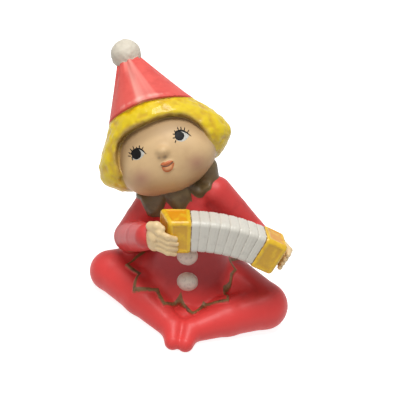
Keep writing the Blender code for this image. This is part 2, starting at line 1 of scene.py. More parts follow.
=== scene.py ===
"""A seated elf figurine in painted ceramic: its skin, its sprayed and brushed coats, its painted face."""
import math
from itertools import product

import bpy
import numpy as np
from mathutils import Matrix, Vector


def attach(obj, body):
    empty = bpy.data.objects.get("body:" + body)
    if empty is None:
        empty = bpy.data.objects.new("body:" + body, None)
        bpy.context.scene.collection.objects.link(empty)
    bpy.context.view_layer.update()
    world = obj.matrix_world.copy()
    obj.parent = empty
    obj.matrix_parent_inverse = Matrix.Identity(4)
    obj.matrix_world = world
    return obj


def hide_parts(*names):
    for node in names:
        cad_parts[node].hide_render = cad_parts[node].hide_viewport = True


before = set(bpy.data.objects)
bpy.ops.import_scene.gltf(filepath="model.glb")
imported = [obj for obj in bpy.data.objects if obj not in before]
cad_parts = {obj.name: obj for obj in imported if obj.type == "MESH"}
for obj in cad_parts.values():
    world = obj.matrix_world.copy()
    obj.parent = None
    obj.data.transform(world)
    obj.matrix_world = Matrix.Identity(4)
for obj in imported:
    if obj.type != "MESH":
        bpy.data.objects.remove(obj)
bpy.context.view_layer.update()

# The camera stands in front of the figurine and looks down on it at thirty degrees, from about forty
# centimetres. It leans by ten degrees, because the figurine stands on a slope in the picture.
CAMERA_AIM = Vector((-0.002, 0.0, 0.0574))
CAMERA_DISTANCE = 0.420
CAMERA_ELEVATION = math.radians(30)
CAMERA_LEAN = math.radians(10)
CAMERA_LENS = 75.6
camera = bpy.data.objects.new("camera", bpy.data.cameras.new("camera"))
camera.data.sensor_width, camera.data.lens = 36.0, CAMERA_LENS
camera.data.clip_start = 0.01
sight = Vector((0.0, -math.cos(CAMERA_ELEVATION), math.sin(CAMERA_ELEVATION)))
camera.matrix_world = (
    Matrix.Translation(CAMERA_AIM + sight * CAMERA_DISTANCE)
    @ sight.to_track_quat("Z", "Y").to_matrix().to_4x4()
    @ Matrix.Rotation(CAMERA_LEAN, 4, "Z")
)
bpy.context.scene.collection.objects.link(camera)
bpy.context.scene.camera = camera
bpy.context.scene.view_settings.view_transform = "Standard"

# A white studio: a wide floor under the figurine and a white surround, lit by one soft lamp above, a weak
# one in front and the surround itself. Seen straight on, the floor is white apart from the figurine's own
# shadow.
FLOOR_SIZE = 6.0
FLOOR_GREY = 0.70
FLOOR_GLOW = 0.86
FLOOR_SHOWN = 0.62
SURROUND_LIGHT = 0.24
LAMP_AIM = Vector((0.0, 0.0, 0.05))
LAMPS = (("lamp_above", (-0.06, -0.14, 0.95), 0.55, 7.8), ("lamp_in_front", (-0.30, -0.85, 0.60), 0.40, 0.9))


def wired(tree, kind, inputs=None, **settings):
    """A node of the given kind, with each named input set to a value or wired to another node's output."""
    made = tree.nodes.new(kind)
    for name, value in settings.items():
        setattr(made, name, value)
    for name, value in (inputs or {}).items():
        if isinstance(value, bpy.types.NodeSocket):
            tree.links.new(value, made.inputs[name])
        else:
            made.inputs[name].default_value = value
    return made


def seen_straight(tree):
    """One where the camera, a reflection or a see-through surface looks at this place, and zero for its
    light."""
    path = wired(tree, "ShaderNodeLightPath").outputs
    either = wired(tree, "ShaderNodeMath", {0: path["Is Camera Ray"], 1: path["Is Glossy Ray"]},
                   operation="MAXIMUM").outputs[0]
    return wired(tree, "ShaderNodeMath", {0: either, 1: path["Is Transmission Ray"]},
                 operation="MAXIMUM").outputs[0]


floor_paper = bpy.data.materials.new("studio_paper")
floor_paper.use_nodes = True
tree = floor_paper.node_tree
tree.nodes.clear()
plain = wired(tree, "ShaderNodeBsdfDiffuse", {"Color": (FLOOR_GREY,) * 3 + (1.0,)})
lit = wired(tree, "ShaderNodeBsdfDiffuse", {"Color": (FLOOR_SHOWN,) * 3 + (1.0,)})
glow = wired(tree, "ShaderNodeEmission", {"Color": (1.0, 1.0, 1.0, 1.0), "Strength": FLOOR_GLOW})
shown = wired(tree, "ShaderNodeAddShader", {0: lit.outputs[0], 1: glow.outputs[0]})
paper = wired(tree, "ShaderNodeMixShader", {0: seen_straight(tree), 1: plain.outputs[0], 2: shown.outputs[0]})
wired(tree, "ShaderNodeOutputMaterial", {"Surface": paper.outputs[0]})

half = FLOOR_SIZE / 2
floor_mesh = bpy.data.meshes.new("studio_floor")
floor_corners = [(-half, -half, 0), (half, -half, 0), (half, half, 0), (-half, half, 0)]
floor_mesh.from_pydata(floor_corners, [], [(0, 1, 2, 3)])
floor_mesh.materials.append(floor_paper)
floor = bpy.data.objects.new("studio_floor", floor_mesh)
bpy.context.scene.collection.objects.link(floor)

surround = bpy.data.worlds.new("studio_surround")
surround.use_nodes = True
tree = surround.node_tree
tree.nodes.clear()
dim = wired(tree, "ShaderNodeBackground", {"Color": (1.0, 1.0, 1.0, 1.0), "Strength": SURROUND_LIGHT})
white = wired(tree, "ShaderNodeBackground", {"Color": (1.0, 1.0, 1.0, 1.0), "Strength": 1.0})
walls = wired(tree, "ShaderNodeMixShader", {0: seen_straight(tree), 1: dim.outputs[0], 2: white.outputs[0]})
wired(tree, "ShaderNodeOutputWorld", {"Surface": walls.outputs[0]})
bpy.context.scene.world = surround

for name, place, size, power in LAMPS:
    lamp = bpy.data.objects.new(name, bpy.data.lights.new(name, "AREA"))
    lamp.data.shape, lamp.data.size, lamp.data.energy = "DISK", size, power
    back_of_lamp = Vector(place) - LAMP_AIM
    lamp.matrix_world = Matrix.Translation(place) @ back_of_lamp.to_track_quat("Z", "Y").to_matrix().to_4x4()
    bpy.context.scene.collection.objects.link(lamp)

# The suit: crossed legs, lap, torso and sleeves, slip-cast as one body with its pointed skirt, collar and
# buttons. Its forms are balls and rolls of clay pressed together, measured in millimetres, and z = 0 is the
# ground foot.
RED = (0.600, 0.045, 0.042)
RED_SHADE = (0.360, 0.022, 0.022)
RED_WORN = (0.700, 0.150, 0.125)
BELLY_PAINTED_SHADOW = (0.270, 0.022, 0.026)
LEG_PAINTED_LIGHT = (0.800, 0.056, 0.052)
GOLD_BROWN = (0.230, 0.120, 0.040)
OLIVE = (0.135, 0.088, 0.034)
OLIVE_DARK = (0.075, 0.042, 0.018)
OLIVE_OCHRE = (0.300, 0.180, 0.035)
BUTTON_WHITE = (0.780, 0.690, 0.580)
BARE_CLAY = (0.720, 0.660, 0.570)

RIGHT_KNEE, LEFT_KNEE = (-41.6, -6.0, 9.6), (39.4, -15.0, 11.2)
RIGHT_KNEE_RADIUS, LEFT_KNEE_RADIUS = 10.4, 12.0
HIP, HIP_RADIUS = (12.0, 7.0, 12.7), 13.5
CALF_RADIUS = 9.2
ANKLE, ANKLE_RADIUS = (4.2, -38.0, 5.0), 5.8
TOE, TOE_RADIUS = (3.1, -46.0, 3.3), 4.1
LAP_RADII = (28.0, 21.0, 16.3)
LAP_FORWARD = 8.5
NECK_HEIGHT = 64.0
SPINE_SHIFT = -14.0
TORSO = ((-4.0, 46.0, 42.0), (12.0, 46.0, 42.0), (24.0, 41.0, 39.0), (37.0, 38.0, 34.5), (50.0, 35.0, 30.0),
         (58.4, 27.3, 22.8), (64.0, 18.4, 17.6), (74.0, 16.0, 16.0))
RIGHT_SHOULDER, RIGHT_ELBOW = (-25.0, 1.0, 50.5), (-34.0, -4.0, 31.5)
LEFT_SHOULDER, LEFT_ELBOW = (4.8, 1.0, 62.3), (25.0, 0.0, 44.5)
SHOULDER_RADIUS, ELBOW_RADIUS, CUFF_RADIUS = 8.7, 8.1, 6.4
CLOTH = 1.4
CLOTH_FADE = 9.0
SKIRT_MIDDLE = (-4.0, -4.0)
SKIRT = dict(inner=14.5, outer=(30.0, 29.0), squareness=3.3, points=12, first_point=-73.0, tooth=6.8,
             rise=30.0, fall=-2.0, drape=6.0)
SKIRT_SIDE = 21.2
HEM_LINE = 1.50
HEM_TOP = 31.0
COLLAR_SHIFT = -3.0
COLLAR = dict(inner=8.0, outer=(21.5, 13.6), squareness=2.0, points=6, first_point=-76.0, tooth=3.6,
              rise=7.0, fall=7.0, drape=2.0)
STRAIGHT_FROM, STRAIGHT_EDGE, STRAIGHT_RISE = 6.4, 6.4, 0.08
BUTTON_RADII = (5.0, 3.6, 4.7)
BUTTON_HEIGHTS = (22.8, 35.5)
BELLY_MIDDLE, BELLY_REACH = (-1.0, -14.0, 32.0), (24.0, 16.0, 15.0)
PAINTED_LIGHT_TOP = 19.0
OCHRE_REACH = 7.0
BARE_RIM = 0.25
SUIT_BOX, SUIT_CELL = ((-62, -54, -1.2), (55, 40, 83)), 0.55
MM = 0.001


def clay_ball(x, y, z, centre, radii):
    """Distance to an ellipsoid: the point's length counted in radii, less one, over how fast that length
    grows."""
    u, v, w = (x - centre[0]) / radii[0], (y - centre[1]) / radii[1], (z - centre[2]) / radii[2]
    length = np.sqrt(u * u + v * v + w * w)
    growth = np.sqrt((u / radii[0]) ** 2 + (v / radii[1]) ** 2 + (w / radii[2]) ** 2)
    return length * (length - 1) / np.maximum(growth, 1e-6)


def pressed(first, second, seam):
    """Two forms pressed together: the nearer distance, less a rounding where the two differ by less than
    seam."""
    share = np.clip(0.5 + 0.5 * (second - first) / seam, 0, 1)
    return second + (first - second) * share - seam * share * (1 - share)


def trimmed(first, second, seam):
    """What two forms have in common, with its edge rounded over: the farther distance, eased the same way."""
    return -pressed(-first, -second, seam)


def clay_roll(x, y, z, points, radii, seam=1.0):
    """Distance to a roll of clay: over each stretch, the distance to its middle line less a radius that
    changes evenly from one end to the other, with the stretches pressed together."""
    roll = None
    for start, end, thick, thin in zip(points, points[1:], radii, radii[1:]):
        run = [float(b - a) for a, b in zip(start, end)]
        share = sum((p - a) * r for p, a, r in zip((x, y, z), start, run)) / sum(r * r for r in run)
        share = np.clip(share, 0, 1)
        off = [p - a - share * r for p, a, r in zip((x, y, z), start, run)]
        stretch = np.sqrt(off[0] ** 2 + off[1] ** 2 + off[2] ** 2) - (thick + share * (thin - thick))
        roll = stretch if roll is None else pressed(roll, stretch, seam)
    return roll


def eased_rows(rows, step=0.25, window=17):
    """A profile given by a few rows, as fine columns: read off straight between rows, then averaged twice
    over a sliding window, so that no row shows as an edge."""
    rows = np.array(rows)
    heights = np.arange(rows[0, 0], rows[-1, 0] + step, step)
    columns = [heights]
    for column in rows[:, 1:].T:
        fine = np.interp(heights, rows[:, 0], column)
        for _ in range(2):
            fine = np.convolve(np.pad(fine, window // 2, mode="edge"), np.ones(window) / window, mode="valid")
        columns.append(fine)
    return np.array(columns)


def turned_oval(x, y, z, profile):
    """Distance to a form with oval level sections: the point's radius in the section's own measure less
    the half width at its height, over how fast that difference grows. The profile's columns are height,
    half width and depth's share of the width."""
    half = np.interp(z, profile[0], profile[1]).astype(np.float32)
    flat = np.interp(z, profile[0], profile[2]).astype(np.float32)
    slope = np.interp(z, profile[0], np.gradient(profile[1], profile[0])).astype(np.float32)
    radius = np.sqrt(x * x + (y / flat) ** 2) + 1e-4
    growth = np.sqrt((x / radius) ** 2 + (y / (flat * flat * radius)) ** 2 + slope**2)
    return (radius - half) / growth


def zigzag_edge(x, y, half_x, half_y, squareness, points, first_point, tooth):
    """Distance to the pointed edge of a cloth seen from above, and that edge's own radius: a rounded
    oval's radius, drawn back evenly by the tooth's length from each point to the valley after it."""
    turn = np.arctan2(y, x)
    oval = (np.abs(np.cos(turn) / half_x) ** squareness + np.abs(np.sin(turn) / half_y) ** squareness)
    oval = oval ** (-1 / squareness)
    phase = (np.degrees(turn) - first_point) / 360 * points
    edge = oval - (1 - np.abs(2 * (phase - np.floor(phase)) - 1)) * tooth
    slope = tooth * points / math.pi / edge
    return (np.hypot(x, y) - edge) / np.sqrt(1 + slope * slope), oval


def pointed_cloth(x, y, z, support, inner, outer, squareness, points, first_point, tooth, rise, fall, drape):
    """Cloth laid on a support: a layer over the support, pressed to a sagging cone from the inner ring at
    the height rise to the outer one at the height -fall, kept only above that cone's underside and cut to
    the zigzag edge. The layer thins out towards the inner ring's height."""
    edge, oval = zigzag_edge(x, y, *outer, squareness, points, first_point, tooth)
    radius = np.hypot(x, y)
    spread = np.clip((radius - inner) / (oval - inner), 0, 1)
    line = -fall + (rise + fall) * (1 - spread) ** 1.6
    slope = (rise + fall) * 1.6 * (1 - spread) ** 0.6 / (oval - inner)
    over = (z - line) / np.sqrt(1 + slope * slope)
    thickness = CLOTH * np.clip((rise - z) / CLOTH_FADE, 0, 1)
    sheet = trimmed(pressed(support - thickness, over, drape), -over - 2 * CLOTH, 0.6)
    return trimmed(sheet, edge, 0.9), edge


def turn_about(x=0.0, y=0.0, z=0.0):
    """A turn about Y first, then X, then Z, as a three by three array that takes local points to the
    world."""
    turns = [Matrix.Rotation(math.radians(a), 3, n) for a, n in ((z, "Z"), (x, "X"), (y, "Y"))]
    return np.array(turns[0] @ turns[1] @ turns[2])


def in_frame(x, y, z, place):
    """World coordinates as coordinates in a frame (turn, origin)."""
    turn, origin = place
    off = x - float(origin[0]), y - float(origin[1]), z - float(origin[2])
    return [sum(float(turn[i, axis]) * off[i] for i in range(3)) for axis in range(3)]


def spine_at(height):
    """The torso's middle line bends to the figurine's right with the height's power."""
    return SPINE_SHIFT * np.clip(height / NECK_HEIGHT, 0, None) ** 2.2


BELLOWS_HALF = 17.5
ARCH_ANGLE = math.radians(27.0)
ARCH_RADIUS = 2 * BELLOWS_HALF / ARCH_ANGLE
ACCORDION_PLACE = (turn_about(x=-5.0, y=7.0, z=8.0), np.array((12.6, -23.5, 54.5)))
RIGHT_BOX_LENGTH, LEFT_BOX_LENGTH = 13.0, 12.0


def on_arch(along, back, up):
    """The world point at a distance along the accordion's arched axis and off it. The axis is an arc about
    a pivot below the middle, and runs on straight past both ends of the bellows."""
    reach = min(max(along, -BELLOWS_HALF), BELLOWS_HALF)
    angle = reach / ARCH_RADIUS
    out, high = along - reach, ARCH_RADIUS + up
    point = (out * math.cos(angle) + high * math.sin(angle), back,
             high * math.cos(angle) - out * math.sin(angle) - ARCH_RADIUS)
    return ACCORDION_PLACE[0] @ np.array(point) + ACCORDION_PLACE[1]


RIGHT_WRIST = on_arch(-BELLOWS_HALF - RIGHT_BOX_LENGTH - 6.7, -0.8, -2.6)
LEFT_WRIST = on_arch(BELLOWS_HALF + LEFT_BOX_LENGTH - 3.0, 8.6, -3.0)
TORSO_PROFILE = eased_rows([(height, width / 2, depth / width) for height, width, depth in TORSO])
COLLAR_PLACE = (turn_about(y=-23.0), np.array((SPINE_SHIFT, 0.0, NECK_HEIGHT)))
NECK_SIDE, NECK_SIDE_RADIUS = ((0.8, 2.5, 66.5), (-1.8, 2.5, 75.0)), 5.6
NECK_TOP = 72.0


def legs(x, y, z):
    """Thighs out to the knees and shins back to the feet, with the lap and a web of clay between them."""
    together = clay_ball(x, y, z, (0.0, -LAP_FORWARD, -0.8), LAP_RADII)
    for side, knee, radius in ((-1, RIGHT_KNEE, RIGHT_KNEE_RADIUS), (1, LEFT_KNEE, LEFT_KNEE_RADIUS)):
        hip = (side * HIP[0], HIP[1], HIP[2])
        ankle, toe = (side * ANKLE[0], ANKLE[1], ANKLE[2]), (side * TOE[0], TOE[1], TOE[2])
        calf = ((knee[0] + ankle[0]) / 2, (knee[1] + ankle[1]) / 2, CALF_RADIUS - 0.8)
        thigh = clay_roll(x, y, z, (hip, knee), (HIP_RADIUS, radius))
        shin_radii = (radius, CALF_RADIUS, ANKLE_RADIUS, TOE_RADIUS)
        shin = clay_roll(x, y, z, (knee, calf, ankle, toe), shin_radii, 2.0)
        together = pressed(together, thigh, 3.0)
        together = pressed(together, shin, 1.6)
    web = clay_ball(x, y, z, (0.0, -28.9, -0.8), (10.4, 8.7, 11.6))
    return pressed(together, web, 2.4)


def sleeve(x, y, z, shoulder, elbow, wrist):
    """A full sleeve from the shoulder over the elbow to the wrist, narrowing evenly to the cuff."""
    shoulder, elbow, wrist = (tuple(float(c) for c in p) for p in (shoulder, elbow, wrist))
    upper = tuple((a + b) / 2 for a, b in zip(shoulder, elbow))
    lower = tuple(a + (b - a) * 0.6 for a, b in zip(elbow, wrist))
    radii = (SHOULDER_RADIUS, (SHOULDER_RADIUS + ELBOW_RADIUS) / 2, ELBOW_RADIUS,
             (ELBOW_RADIUS + CUFF_RADIUS) / 2, CUFF_RADIUS)
    return clay_roll(x, y, z, (shoulder, upper, elbow, lower, wrist), radii, 0.5)


def off_line(x, y, knee, ankle, side):
    """How far a place lies outside the shin's middle line, seen from above."""
    run_x, run_y = side * ankle[0] - knee[0], ankle[1] - knee[1]
    return ((x - knee[0]) * run_y - (y - knee[1]) * run_x) * -side / math.hypot(run_x, run_y)


def clothed_body(x, y, z):
    """The distance to the suit without its buttons, and what its paint follows: the skirt's edge and the
    collar."""
    torso = turned_oval(x - spine_at(z), y, z, TORSO_PROFILE)
    torso = trimmed(torso, z - NECK_TOP, 2.0)
    thighs = legs(x, y, z)
    arms = pressed(sleeve(x, y, z, RIGHT_SHOULDER, RIGHT_ELBOW, RIGHT_WRIST),
                   sleeve(x, y, z, LEFT_SHOULDER, LEFT_ELBOW, LEFT_WRIST), 2.0)
    body = pressed(torso, thighs, 5.0)
    skirt, hem = pointed_cloth(x - SKIRT_MIDDLE[0], y - SKIRT_MIDDLE[1], z, body, **SKIRT)
    beside_thigh = x - SKIRT_SIDE - 0.6 * np.maximum(y + 10.0, 0)
    skirt, hem = trimmed(skirt, beside_thigh, 0.6), np.maximum(hem, beside_thigh)
    beyond_shins = np.maximum(off_line(x, y, RIGHT_KNEE, ANKLE, -1), off_line(x, y, LEFT_KNEE, ANKLE, 1))
    skirt = np.where(z < HIP_RADIUS, trimmed(skirt, beyond_shins - 1.0, 1.0), skirt)
    dressed = pressed(pressed(body, skirt, 0.7), arms, 5.0)
    u, v, w = in_frame(x, y, z, COLLAR_PLACE)
    shoulders = pressed(torso, arms, 4.0)
    collar, _ = pointed_cloth(u - COLLAR_SHIFT, v, w, shoulders, **COLLAR)
    beyond = u - STRAIGHT_FROM
    collar = trimmed(collar, np.minimum(beyond, STRAIGHT_RISE * beyond - STRAIGHT_EDGE - v), 0.6)
    collar = pressed(collar, clay_roll(x, y, z, NECK_SIDE, (NECK_SIDE_RADIUS,) * 2), 2.0)
    marks = {"hem": np.where(z < HEM_TOP, hem, 9.0), "collar": collar - dressed}
    return pressed(dressed, collar, 0.6), marks


def front_of(forms, across, height):
    """How far forward the forms reach at a place seen from the front: the first of many even steps, from
    before the figurine to its middle, that lies inside them."""
    steps = np.linspace(-60.0, 0.0, 241)
    inside = forms(np.full_like(steps, across), steps, np.full_like(steps, height))[0] < 0
    return float(steps[np.argmax(inside)])


BUTTON_SPOTS = []
for height in BUTTON_HEIGHTS:
    across = float(spine_at(height)) + 0.4
    BUTTON_SPOTS.append((across, front_of(clothed_body, across, height), height))


def suit_forms(x, y, z):
    """The distance to the whole suit, the buttons pressed onto it, with their mark beside the others."""
    whole, marks = clothed_body(x, y, z)
    buttons = np.minimum(*(clay_ball(x, y, z, spot, BUTTON_RADII) for spot in BUTTON_SPOTS))
    marks["button"] = buttons - 0.3
    return pressed(whole, buttons, 0.6), marks


def clay_skin(forms, low, high, step, floor=None):
    """The skin where a distance is zero, as points and four-sided faces that look outwards.

    The box is cut into small cells. Each cell that the skin passes through gets one point, first at the
    mean of the crossings on the cell's edges, then moved along the distance's own slope until the distance
    is nil. Each grid line that the skin crosses gets one face, between the four cells round it. Returns
    points, faces, slopes.
    """
    low, high = np.array(low, dtype=float), np.array(high, dtype=float)
    axes = [np.arange(a, b + step, step, dtype=np.float32) for a, b in zip(low, high)]
    x, y, z = np.meshgrid(*axes, indexing="ij", sparse=True)
    value = np.asarray(forms(x, y, z)[0], dtype=np.float32)
    if floor is not None:
        value = np.maximum(value, floor - z)
    inside = value < 0
    cells = [n - 1 for n in value.shape]
    corners = list(product((0, 1), repeat=3))
    count = sum(inside[a:a + cells[0], b:b + cells[1], c:c + cells[2]].astype(np.int8) for a, b, c in corners)
    spots = np.argwhere((count > 0) & (count < 8))
    number = np.full(cells, -1, dtype=np.int64)
    number[tuple(spots.T)] = np.arange(len(spots))
    total, crossings = np.zeros((len(spots), 3)), np.zeros(len(spots))
    for axis in range(3):
        for pair in product((0, 1), repeat=2):
            start = np.insert(np.array(pair), axis, 0)
            end = np.insert(np.array(pair), axis, 1)
            a, b = value[tuple((spots + start).T)], value[tuple((spots + end).T)]
            crossed = (a < 0) != (b < 0)
            share = np.where(crossed, a / np.where(crossed, a - b, 1), 0)
            total += crossed[:, None] * (start + share[:, None] * (end - start))
            crossings += crossed
    points = low + step * (spots + total / crossings[:, None])
    faces = []
    for axis in range(3):
        b, c = (axis + 1) % 3, (axis + 2) % 3
        inner = np.moveaxis(inside, axis, 0)
        lines = np.argwhere(inner[:-1] != inner[1:])
        order = [axis] + [other for other in range(3) if other != axis]
        edge = np.empty_like(lines)
        edge[:, order] = lines
        edge = edge[(edge[:, b] > 0) & (edge[:, c] > 0) & (edge[:, b] < cells[b]) & (edge[:, c] < cells[c])]
        outwards = inside[tuple(edge.T)]
        ring = []
        for back_b, back_c in ((1, 1), (0, 1), (0, 0), (1, 0)):
            cell = edge.copy()
            cell[:, b] -= back_b
            cell[:, c] -= back_c
            ring.append(number[tuple(cell.T)])
        ring = np.stack(ring, axis=1)
        faces.append(np.where(outwards[:, None], ring, ring[:, ::-1]))
    slopes = np.zeros_like(points)
    for _ in range(4):
        here = np.asarray(forms(*points.T)[0])
        for axis in range(3):
            nudge = np.zeros(3)
            nudge[axis] = 0.2 * step
            ahead, behind = points + nudge, points - nudge
            slopes[:, axis] = (forms(*ahead.T)[0] - forms(*behind.T)[0]) / (0.4 * step)
        steep = np.maximum((slopes**2).sum(axis=1), 0.2)
        move = -slopes * (here / steep)[:, None]
        reach = np.linalg.norm(move, axis=1)
        points += move * np.minimum(1, 0.5 * step / np.maximum(reach, 1e-9))[:, None]
        if floor is not None:
            points[:, 2] = np.maximum(points[:, 2], floor)
    slopes /= np.maximum(np.linalg.norm(slopes, axis=1), 1e-6)[:, None]
    return points, np.concatenate(faces), slopes


def lumps(points, size, seed):
    """Smooth lumps from -1 to 1: a chance height at each corner of a lattice of the given size, eased
    between the corners. The chance comes from whole-number mixing of the corner's place, so it is the same
    each time."""
    scaled = points / np.array(size) + seed * 17.31
    low = np.floor(scaled).astype(np.int64)
    share = scaled - low
    share = share * share * (3 - 2 * share)
    total = np.zeros(len(points))
    for corner in product((0, 1), repeat=3):
        cell = low + corner
        mix = (cell[:, 0] * 73856093) ^ (cell[:, 1] * 19349663) ^ (cell[:, 2] * 83492791) ^ (seed * 2654435)
        mix = ((mix ^ (mix >> 13)) * 1274126177) & 0x7FFFFFFF
        height = ((mix >> 9) & 0xFFFF) / 32767.5 - 1
        total += np.prod(np.where(corner, share, 1 - share), axis=1) * height
    return total


def fired(name, points, faces, marks, material, place=None):
    """The finished piece: its points brought from its own frame and millimetres to the figurine's metres,
    with each mark kept on its points for the paint to follow."""
    if place is not None:
        points = points @ place[0].T + place[1]
    mesh = bpy.data.meshes.new(name)
    mesh.vertices.add(len(points))
    mesh.vertices.foreach_set("co", (points * MM).astype(np.float32).ravel())
    sides = faces.shape[1]
    mesh.loops.add(faces.size)
    mesh.loops.foreach_set("vertex_index", faces.astype(np.int32).ravel())
    mesh.polygons.add(len(faces))
    mesh.polygons.foreach_set("loop_start", np.arange(0, faces.size, sides, dtype=np.int32))
    mesh.update(calc_edges=True)
    mesh.shade_smooth()
    for mark, amounts in marks.items():
        layer = mesh.attributes.new(mark, "FLOAT", "POINT")
        layer.data.foreach_set("value", np.broadcast_to(amounts, len(points)).astype(np.float32))
    mesh.materials.append(material)
    piece = bpy.data.objects.new(name, mesh)
    bpy.context.scene.collection.objects.link(piece)
    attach(piece, "root")
    return piece


class Brushwork:
    """A painted and varnished surface, with coats of colour laid over each other."""

    def __init__(self, name, roughness=0.42, varnish=0.25, varnish_roughness=0.22, shine=0.30):
        self.material = bpy.data.materials.new(name)
        self.material.use_nodes = True
        self.tree = self.material.node_tree
        self.surface = self.tree.nodes["Principled BSDF"]
        self.surface.inputs["Roughness"].default_value = roughness
        self.surface.inputs["Specular IOR Level"].default_value = shine
        self.surface.inputs["Coat Weight"].default_value = varnish
        self.surface.inputs["Coat Roughness"].default_value = varnish_roughness
        self.spot = wired(self.tree, "ShaderNodeTexCoord").outputs["Object"]
        self.colour = None

    def noise(self, size, detail, roughness=0.5):
        """Noise of the given size in millimetres, fixed to the piece."""
        return wired(self.tree, "ShaderNodeTexNoise", {
            "Vector": self.spot, "Scale": 1 / (size * MM), "Detail": detail, "Roughness": roughness,
        }).outputs["Fac"]

    def cloudy(self, size, low, high):
        """Soft clouds of the given size in millimetres, spread from 0 to 1 between two levels of the
        noise."""
        return wired(self.tree, "ShaderNodeMapRange", {
            "Value": self.noise(size, 3.0, 0.55), "From Min": low, "From Max": high,
        }, interpolation_type="SMOOTHSTEP").outputs[0]

    def marked(self, mark, soft=0.12, ragged=0.0):
        """One inside the edge that a mark gives, and zero outside: the mark is a distance in millimetres,
        made ragged by clouds of about a millimetre and eased over a short way."""
        value = wired(self.tree, "ShaderNodeAttribute", attribute_name=mark).outputs["Fac"]
        if ragged:
            value = wired(self.tree, "ShaderNodeMath", {0: self.noise(1.2, 2.0), 1: 2 * ragged, 2: value},
                          operation="MULTIPLY_ADD").outputs[0]
        return wired(self.tree, "ShaderNodeMapRange", {
            "Value": value, "From Min": ragged + soft, "From Max": ragged - soft,
        }, interpolation_type="SMOOTHSTEP").outputs[0]

    def times(self, first, second):
        """Two amounts multiplied, so that a coat lies only where both are above zero."""
        return wired(self.tree, "ShaderNodeMath", {0: first, 1: second}, operation="MULTIPLY").outputs[0]

    def coat(self, colour, amount, *others):
        """Lays a colour over what is there, as strongly as the amounts, multiplied, say at each place."""
        for other in others:
            amount = self.times(amount, other)
        paint = colour if isinstance(colour, bpy.types.NodeSocket) else (*colour, 1.0)
        self.colour = wired(self.tree, "ShaderNodeMix", {"Factor": amount, 6: self.colour, 7: paint},
                            data_type="RGBA").outputs[2]

    def shade(self, light, dark, amount):
        """A colour that wavers between two tones."""
        return wired(self.tree, "ShaderNodeMix", {"Factor": amount, 6: (*light, 1.0), 7: (*dark, 1.0)},
                     data_type="RGBA").outputs[2]

    def grain(self, size, depth, coarse_size=None, coarse_depth=0.0):
        """The fine unevenness of sprayed paint on bisque, and the slower one of the mould-worn clay below
        it."""
        bump = wired(self.tree, "ShaderNodeBump", {
            "Height": self.noise(size, 3.0), "Distance": depth * MM, "Strength": 1.0})
        if coarse_size:
            under = wired(self.tree, "ShaderNodeBump", {
                "Height": self.noise(coarse_size, 2.0), "Distance": coarse_depth * MM, "Strength": 1.0})
            self.tree.links.new(under.outputs[0], bump.inputs["Normal"])
        self.tree.links.new(bump.outputs[0], self.surface.inputs["Normal"])

    def varnished(self, amount):
        """Lets the varnish follow an amount, where only a part of the piece is glossy."""
        self.tree.links.new(amount, self.surface.inputs["Coat Weight"])

    def done(self):
        """Joins the last coat of colour to the surface and hands over the material."""
        self.tree.links.new(self.colour, self.surface.inputs["Base Color"])
        return self.material


suit_paint = Brushwork("suit_paint", roughness=0.50, varnish=0.16, varnish_roughness=0.30)
suit_paint.colour = suit_paint.shade(RED, RED_SHADE, suit_paint.cloudy(9.0, 0.45, 0.95))
suit_paint.coat(RED_WORN, suit_paint.cloudy(5.0, 0.58, 0.95), suit_paint.cloudy(1.1, 0.4, 0.9))
# Painted light: the suit is laid over with a lighter red below a set height, standing in for the light on the
# legs.
suit_paint.coat(LEG_PAINTED_LIGHT, suit_paint.marked("legs", soft=5.0), 0.70)
# Painted shadow: a dark red over the belly, where the accordion and the head shade it.
suit_paint.coat(BELLY_PAINTED_SHADOW, suit_paint.marked("belly", soft=5.0), 0.65)
line = suit_paint.marked("hem_line", soft=0.16, ragged=0.22)
suit_paint.coat(suit_paint.shade(GOLD_BROWN, (0.10, 0.045, 0.02), suit_paint.cloudy(2.5, 0.4, 0.8)), line)
cloth = suit_paint.shade(OLIVE, OLIVE_DARK, suit_paint.cloudy(5.0, 0.4, 0.8))
suit_paint.coat(cloth, suit_paint.marked("collar", ragged=0.12))
suit_paint.coat(OLIVE_OCHRE, suit_paint.marked("collar"), suit_paint.marked("ochre", soft=2.0))
white = suit_paint.shade(BUTTON_WHITE, (0.40, 0.34, 0.30), suit_paint.cloudy(1.8, 0.45, 0.85))
suit_paint.coat(white, suit_paint.marked("button", soft=0.2, ragged=0.15))
suit_paint.coat(BARE_CLAY, suit_paint.marked("foot", soft=0.15, ragged=0.2))
suit_paint.grain(0.35, 0.02, 3.4, 0.14)

points, faces, slopes = clay_skin(suit_forms, *SUIT_BOX, SUIT_CELL, floor=0.0)
_, marks = suit_forms(*points.T)
marks["hem_line"] = np.abs(marks.pop("hem") + HEM_LINE / 2) - HEM_LINE / 2
ochre_spot = on_arch(-BELLOWS_HALF - 4.0, 0.0, 9.0)
marks["ochre"] = np.linalg.norm(points - ochre_spot, axis=1) - OCHRE_REACH
marks["foot"] = points[:, 2] - BARE_RIM
# Painted light: the lighter red reaches up from the ground to a set height.
marks["legs"] = points[:, 2] - PAINTED_LIGHT_TOP
# Painted shadow: the belly's dark red fills a soft oval below the accordion.
marks["belly"] = clay_ball(*points.T, BELLY_MIDDLE, BELLY_REACH)
suit = fired("suit", points, faces, marks, suit_paint.done())
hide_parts("figurine")

